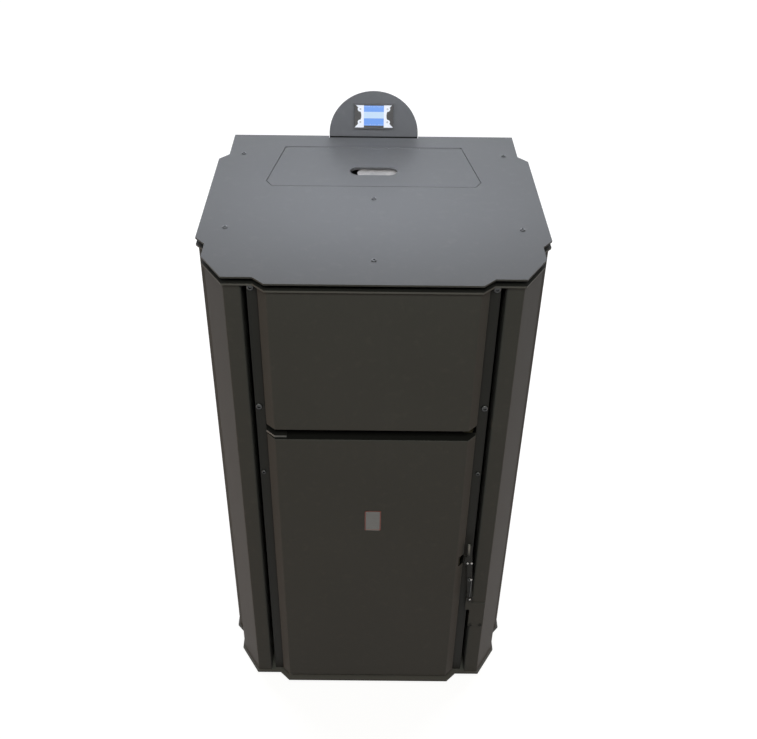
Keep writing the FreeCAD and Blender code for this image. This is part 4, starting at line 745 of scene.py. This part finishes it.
def fit_cover_screws():
    """The six screws of the top cover: two on its middle line and two along each side."""
    low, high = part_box("cover_screws")
    cover_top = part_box("top_cover")[1].z
    head, shank = 0.0046, 0.0025
    second_row, side_row = 0.219, 0.1075
    across = high.x - head
    front, rear = low.y + head, high.y - head
    places = [(0.0, front), (0.0, front + second_row)]
    for side in (-across, across):
        places += [(side, front + side_row), (side, rear)]
    screw = model_screw(head, high.z - cover_top, shank, cover_top - low.z)
    piece = copies(screw, [(x, y, cover_top) for x, y in places])
    settle(piece, "cover_button_screws", "cabinet", "screw_steel", ["cover_screws"])


def fit_channel_screws():
    """The screws in the recessed strips on both sides of the front panels."""
    low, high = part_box("channel_screws")
    strip_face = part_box("front_upright_right")[0].y
    head, small_head, shank = 0.0065, 0.0045, 0.0024
    spacing = 0.245
    across = high.x - head
    top, bottom = high.z - head, low.z + head
    made = []
    for radius, levels in ((head, (top, top - spacing)), (small_head, (bottom,))):
        screw = model_screw(radius, strip_face - low.y, shank, high.y - strip_face)
        places = [(side, strip_face, level) for side in (-across, across) for level in levels]
        made.append(copies(screw, places, TO_FRONT))
    settle(join(made), "strip_button_screws", "cabinet", "screw_steel", ["channel_screws"])


def fit_added_screws(name, places, turn, head, rise, sunk, material=None):
    """Small screws on the cabinet that the solids don't have."""
    shank = 0.002
    piece = copies(model_screw(head, rise, shank, sunk), places, turn)
    settle(piece, name, "cabinet", "screw_steel", material=material)


def fit_bracket_screws():
    """Two screws at the foot of the latch bracket, painted over."""
    low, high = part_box("latch_bracket")
    head, rise, sunk = 0.0042, 0.0022, 0.002
    plate_width, inset = 0.031, 0.0055
    sides = (high.x - plate_width + inset, high.x - inset)
    places = [(side, low.y, low.z + inset) for side in sides]
    paint = finishes["frame_paint"]
    fit_added_screws("latch_bracket_screws", places, TO_FRONT, head, rise, sunk, paint)


def fit_panel_screws():
    """Two screws that hold the control panel's tail to the casing's rear."""
    low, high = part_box("control_panel")
    head, rise, sunk = 0.0042, 0.002, 0.0012
    inset, drop = 0.018, 0.02
    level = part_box("rear_panel")[1].z - drop
    places = [(side, high.y, level) for side in (low.x + inset, high.x - inset)]
    fit_added_screws("control_panel_screws", places, TO_REAR, head, rise, sunk)


def fit_rear_screws():
    """Screws along both edges of the rear panel."""
    low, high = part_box("rear_panel")
    head, rise, sunk = 0.0046, 0.0018, 0.0012
    inset = 0.016
    levels = [low.z + share * (high.z - low.z) for share in (0.06, 0.36, 0.66, 0.95)]
    sides = (low.x + inset, high.x - inset)
    places = [(side, high.y, level) for side in sides for level in levels]
    fit_added_screws("rear_panel_screws", places, TO_REAR, head, rise, sunk)


def model_dome(radius, rise, sunk):
    """A low domed pin head that stands on z = 0, with a short neck below it."""
    turn_profile(
        20,
        [
            (radius * 0.9, -sunk),
            (radius, 0.0),
            (radius, rise * 0.45),
            (radius * 0.9, rise * 0.72),
            (radius * 0.62, rise * 0.93),
            (radius * 0.2, rise),
        ],
    )
    close_end()
    close_foot(-sunk)
    return finish_shape(60)


def fit_latch_pins():
    """Three domed pins on the latch lever: two side by side, and one below them at the wire."""
    low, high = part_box("latch_pins")
    lever_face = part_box("latch_lever")[0].y
    solid_radius, spacing, sunk = 0.0032, 0.0078, 0.0006
    lower_aside, lower_drop = 0.0105, 0.048
    left, level = low.x + solid_radius, high.z - solid_radius
    lower_pin = Vector((left + lower_aside, lever_face, level - lower_drop))
    places = [(left, lever_face, level), (left + spacing, lever_face, level), lower_pin]
    pins = copies(model_dome(PIN_RADIUS, lever_face - low.y, sunk), places, TO_FRONT)
    settle(pins, "latch_domed_pins", "latch", "bright_steel", ["latch_pins"], pin_steel)
    fit_latch_wire(lower_pin, low.z)


def fit_latch_wire(pin, lowest):
    """The thin wire at the lower pin: it rises straight to the pin and ends in an eye beside it."""
    radius, clearance, foot_gap = 0.0009, 0.0001, 0.001
    eye = PIN_RADIUS + radius + clearance
    centre = Vector((pin.x - eye * 0.8, pin.y - radius - 2 * clearance, pin.z))
    foot = Vector((centre.x + eye, centre.y, lowest + foot_gap))
    bpy.ops.object.select_all(action="DESELECT")
    bpy.ops.mesh.primitive_circle_add(vertices=12, radius=radius, location=foot)
    start_edit()
    raise_ring(pin.z - foot.z)
    bpy.ops.mesh.spin(steps=18, angle=math.radians(300), center=centre, axis=(0, 1, 0))
    close_end()
    close_foot(0.0)
    settle(finish_shape(60), "latch_wire", "latch", "screw_steel")


def fit_latch_pivot():
    """The lever's pivot: a dark flat head with a small bright dome at its middle."""
    low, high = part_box("latch_pivot")
    head = (high.x - low.x) / 2
    head_height, head_edge = 0.0018, 0.0003
    shank = head * 0.62
    dome, dome_rise = 0.0022, 0.0012
    centre = (low + high) / 2
    face = low.y + dome_rise
    shank_end = face - high.y
    turn_profile(
        28,
        [
            (shank, shank_end),
            (shank, -head_height),
            (head, -head_height),
            (head, -head_edge),
            (head - head_edge, 0.0),
            (dome, 0.0),
            (dome * 0.92, dome_rise * 0.5),
            (dome * 0.6, dome_rise * 0.9),
            (dome * 0.2, dome_rise),
        ],
    )
    close_end()
    close_foot(shank_end)
    pivot = finish_shape(40)
    pivot.data.materials.append(finishes["frame_paint"])
    pivot.data.materials.append(pin_steel)
    for side in pivot.data.polygons:
        side.material_index = 1 if side.center.z > dome_rise * 0.2 else 0
    pivots = copies(pivot, [(centre.x, face, centre.z)], TO_FRONT)
    settle(pivots, "latch_pivot_screw", "cabinet", "bright_steel", ["latch_pivot"])


def fit_door_plate():
    """The bare plate on the door: a raised rim round a sunk field."""
    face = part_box("door_pan")[0].y
    across, level = 0.0047, 0.5165
    width, height, depth = 0.0305, 0.0505, 0.0016
    corner, rim = 0.0022, 0.0014
    slope, rim_rise, field_drop = 0.0004, 0.0003, 0.0006
    start_box((across, face - depth / 2, level), (width, depth, height))
    pick("EDGE", lambda edge: abs(edge.verts[0].co.y - edge.verts[1].co.y) > depth * 0.9)
    bpy.ops.mesh.bevel(offset=corner, segments=4, affect="EDGES")
    pick("FACE", lambda side: side.normal.y < -0.9)
    bpy.ops.mesh.inset(thickness=slope, depth=rim_rise)
    bpy.ops.mesh.inset(thickness=rim)
    bpy.ops.mesh.inset(thickness=slope, depth=-field_drop)
    plate = finish_shape()
    plate.data.materials.append(rim_enamel())
    plate.data.materials.append(plate_metal())
    for side in plate.data.polygons:
        sunk = side.normal.y < -0.9 and abs(side.center.x - across) < 0.001
        side.material_index = 1 if sunk else 0
    settle(plate, "door_bare_plate", "door", "bright_steel")


# Seals and wool boards


def round_ring(centre, width, length, corner, thickness, flatten, turn):
    """A round-sectioned ring along a rectangle with rounded corners, flattened across its plane."""
    bpy.ops.object.select_all(action="DESELECT")
    bpy.ops.mesh.primitive_plane_add(size=1, location=centre, rotation=turn)
    bpy.context.object.scale = (width, length, 1)
    apply_place()
    start_edit()
    pick_all()
    bpy.ops.mesh.delete(type="ONLY_FACE")
    pick_all()
    bpy.ops.mesh.bevel(offset=corner, segments=8, affect="VERTICES")
    end_edit()
    bpy.ops.object.convert(target="CURVE")
    ring = bpy.context.object
    ring.data.fill_mode = "FULL"
    ring.data.bevel_depth = thickness / 2
    ring.data.bevel_resolution = 4
    bpy.ops.object.convert(target="MESH")
    start_edit()
    pick_all()
    bpy.ops.transform.resize(value=flatten, center_override=centre)
    return finish_shape(60)


def fit_rope_seal():
    """The braided rope on the fire side of the door."""
    low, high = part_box("door_rope_seal")
    rope, corner = 0.012, 0.02
    width, length = high.x - low.x - rope, high.z - low.z - rope
    flatten = (1, (high.y - low.y) / rope, 1)
    ring = round_ring((low + high) / 2, width, length, corner, rope, flatten, TO_FRONT)
    settle(ring, "door_braided_rope", "door", "glass_rope", ["door_rope_seal"])


def fit_lid_gasket():
    """The soft seal round the hopper's mouth, under the lid."""
    low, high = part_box("lid_seal")
    bulb, corner = 0.007, 0.008
    width, length = high.x - low.x - bulb, high.y - low.y - bulb
    flatten = (1, 1, (high.z - low.z) / bulb)
    ring = round_ring((low + high) / 2, width, length, corner, bulb, flatten, (0, 0, 0))
    settle(ring, "lid_bulb_gasket", "lid", "seal_rubber", ["lid_seal"])


def wool_board(low, high, seed):
    """A board of pressed wool: soft edges and an uneven face, just inside its box."""
    slack = Vector((0.0008, 0.0008, 0.0008))
    edge, unevenness = 0.003, 0.0006
    low, high = low + slack, high - slack
    start_box((low + high) / 2, high - low)
    pick_all()
    bpy.ops.mesh.bevel(offset=edge, segments=2, affect="EDGES")
    pick_all()
    bpy.ops.mesh.subdivide(number_cuts=12)
    pick_all()
    bpy.ops.transform.vertex_random(offset=unevenness, normal=0.9, seed=seed)
    bpy.ops.mesh.normals_make_consistent(inside=False)
    board = end_edit()
    smooth(board, 50)
    return board


def fit_wool_boards():
    """The wool in the door, and on both sides of the vessel."""
    board = wool_board(*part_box("door_insulation"), seed=3)
    settle(board, "door_wool_board", "door", "wool", ["door_insulation"])
    low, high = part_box("boiler_insulation")
    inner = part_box("boiler_jacket")[1].x
    right = wool_board(Vector((inner, low.y, low.z)), high, seed=5)
    left = wool_board(low, Vector((-inner, high.y, high.z)), seed=7)
    settle(join([right, left]), "vessel_wool_boards", "cabinet", "wool", ["boiler_insulation"])


# Threaded water connections


def fit_water_pipes():
    """Flow and return: plain necks that end in one-inch external threads."""
    low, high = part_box("water_pipes")
    length = high.y - low.y
    crest = (high.x - low.x) / 2
    bore, neck, root = 0.0134, 0.016, 0.0154
    thread_length, pitch = 0.030, 0.0023
    run_out, chamfer = 0.0022, 0.0006
    level = length - thread_length
    profile = [(bore, 0.0), (neck, 0.0), (neck, level)]
    for turn in range(int(thread_length / pitch) - 1):
        start = level + turn * pitch
        profile += [
            (root, start + pitch * 0.15),
            (root, start + pitch * 0.35),
            (crest, start + pitch * 0.7),
            (crest, start + pitch * 0.85),
        ]
    profile += [
        (root, length - run_out),
        (root, length - chamfer),
        (root - chamfer, length),
        (bore, length),
        (bore, 0.0),
    ]
    turn_profile(44, profile)
    pipe = finish_shape(40)
    across = (low.x + high.x) / 2
    places = [(across, low.y, high.z - crest), (across, low.y, low.z + crest)]
    pipes = copies(pipe, places, TO_REAR)
    settle(pipes, "threaded_water_pipes", "cabinet", "pipe_brass", ["water_pipes"])


for fit in (
    fit_cover_screws,
    fit_channel_screws,
    fit_bracket_screws,
    fit_panel_screws,
    fit_rear_screws,
    fit_latch_pins,
    fit_latch_pivot,
    fit_door_plate,
    fit_rope_seal,
    fit_lid_gasket,
    fit_wool_boards,
    fit_water_pipes,
):
    fit()


# Camera, floor and light


def set_camera():
    """The photograph's camera."""
    sine, cosine = math.sin(CAMERA_PITCH), math.cos(CAMERA_PITCH)
    tilt = Matrix(((1, 0, 0), (0, -sine, -cosine), (0, cosine, -sine)))
    turn = Matrix.Rotation(CAMERA_YAW, 3, "Z")
    roll = Matrix.Rotation(CAMERA_ROLL, 3, "Z")
    right, down, ahead = roll @ tilt @ turn
    pose = Matrix((right, -down, -ahead)).transposed().to_4x4()
    pose.translation = CAMERA_PLACE
    camera = bpy.data.cameras.new("camera")
    camera.sensor_width = 36.0
    camera.lens = FOCAL_PIXELS * camera.sensor_width / IMAGE_WIDTH
    camera.shift_x = (IMAGE_WIDTH / 2 - CENTRE_ACROSS) / IMAGE_WIDTH
    camera.shift_y = (CENTRE_DOWN - IMAGE_HEIGHT / 2) / IMAGE_WIDTH
    holder = bpy.data.objects.new("camera", camera)
    holder.matrix_world = pose
    bpy.context.scene.collection.objects.link(holder)
    bpy.context.scene.camera = holder


def seen_rays(finish):
    """1 for rays that show the background: straight from the camera, mirrored or let through."""
    kinds = ("Is Camera Ray", "Is Glossy Ray", "Is Transmission Ray")
    straight, mirrored, let_through = (finish.node("LightPath", output=kind) for kind in kinds)
    return finish.maths("MAXIMUM", finish.maths("MAXIMUM", straight, mirrored), let_through)


def set_floor():
    """A pale floor that reads as white and keeps the boiler's shadow."""
    bpy.ops.object.select_all(action="DESELECT")
    bpy.ops.mesh.primitive_plane_add(size=30, location=(0, 0, 0))
    floor = bpy.context.object
    floor.name = "floor"
    tint_start, tint_end = 1.2, 4.0
    paper = Finish("pale_floor")
    clouds = paper.noise(2.0, 2.0)
    colour = paper.blend(clouds, grey(0.20), grey(0.215))
    matte = paper.node("BsdfDiffuse", None, {"Color": colour})
    from_middle = (paper.across("X") ** 2 + paper.across("Y") ** 2) ** 0.5
    tint = paper.blend(paper.fade(from_middle, tint_start, tint_end), grey(0.92), WHITE)
    glow = paper.node("Emission", None, {"Color": tint, "Strength": seen_rays(paper)})
    both = paper.node("AddShader", None, {0: matte, 1: glow})
    paper.node("OutputMaterial", None, {"Surface": both})
    floor.data.materials.append(paper.material)


def set_world(level):
    """White where it is seen, and a soft even light elsewhere."""
    world = bpy.data.worlds.new("studio")
    world.use_nodes = True
    bpy.context.scene.world = world
    sky = Finish("studio_sky")
    sky.tree = world.node_tree
    sky.tree.nodes.clear()
    seen = seen_rays(sky)
    strength = seen + (1 - seen) * level
    light = sky.node("Background", None, {"Color": WHITE, "Strength": strength})
    sky.node("OutputWorld", None, {"Surface": light})
    bpy.data.materials.remove(sky.material)


def lamp(name, place, aim, size, power, colour, spread=180):
    """A soft rectangular studio light."""
    light = bpy.data.lights.new(name, "AREA")
    light.shape = "RECTANGLE"
    light.size, light.size_y = size
    light.energy = power
    light.spread = math.radians(spread)
    light.color = colour
    holder = bpy.data.objects.new(name, light)
    holder.location = place
    holder.rotation_euler = (Vector(aim) - Vector(place)).to_track_quat("-Z", "Y").to_euler()
    holder.visible_camera = False
    bpy.context.scene.collection.objects.link(holder)


set_camera()
set_floor()
set_world(0.05)
lamp("over_cover", (0.0, -0.2, 1.6), (0.0, 0.25, 1.09), (0.7, 0.15), 5.6, (0.82, 0.86, 1.0))
lamp("panel", (0.0, -0.9, 1.75), (0.0, 0.27, 1.12), (0.5, 0.2), 0.62, (0.83, 0.87, 1.0), 40)
lamp("behind", (0.0, 1.5, 1.7), (0.0, 0.25, 1.04), (2.0, 0.5), 20.0, (0.86, 0.91, 1.0))
lamp("front", (0.0, -2.6, 3.8), (0.0, -0.3, 0.7), (2.0, 1.5), 55.0, (0.98, 1.0, 0.83))
for x in (-2.4, 2.4):
    lamp("rear_corner", (x, 2.2, 1.7), (0.0, 0.1, 0.6), (1.2, 1.2), 45.0, (0.97, 0.98, 1.0))
lamp("left", (-1.6, -0.7, 0.33), (-0.2, -0.25, 0.3), (0.8, 0.6), 4.4, (1.0, 0.60, 0.36))
lamp("right", (1.4, -0.7, 0.28), (0.2, -0.25, 0.25), (0.8, 0.5), 2.2, (1.0, 0.54, 0.29))

bpy.context.scene.view_settings.view_transform = "Standard"
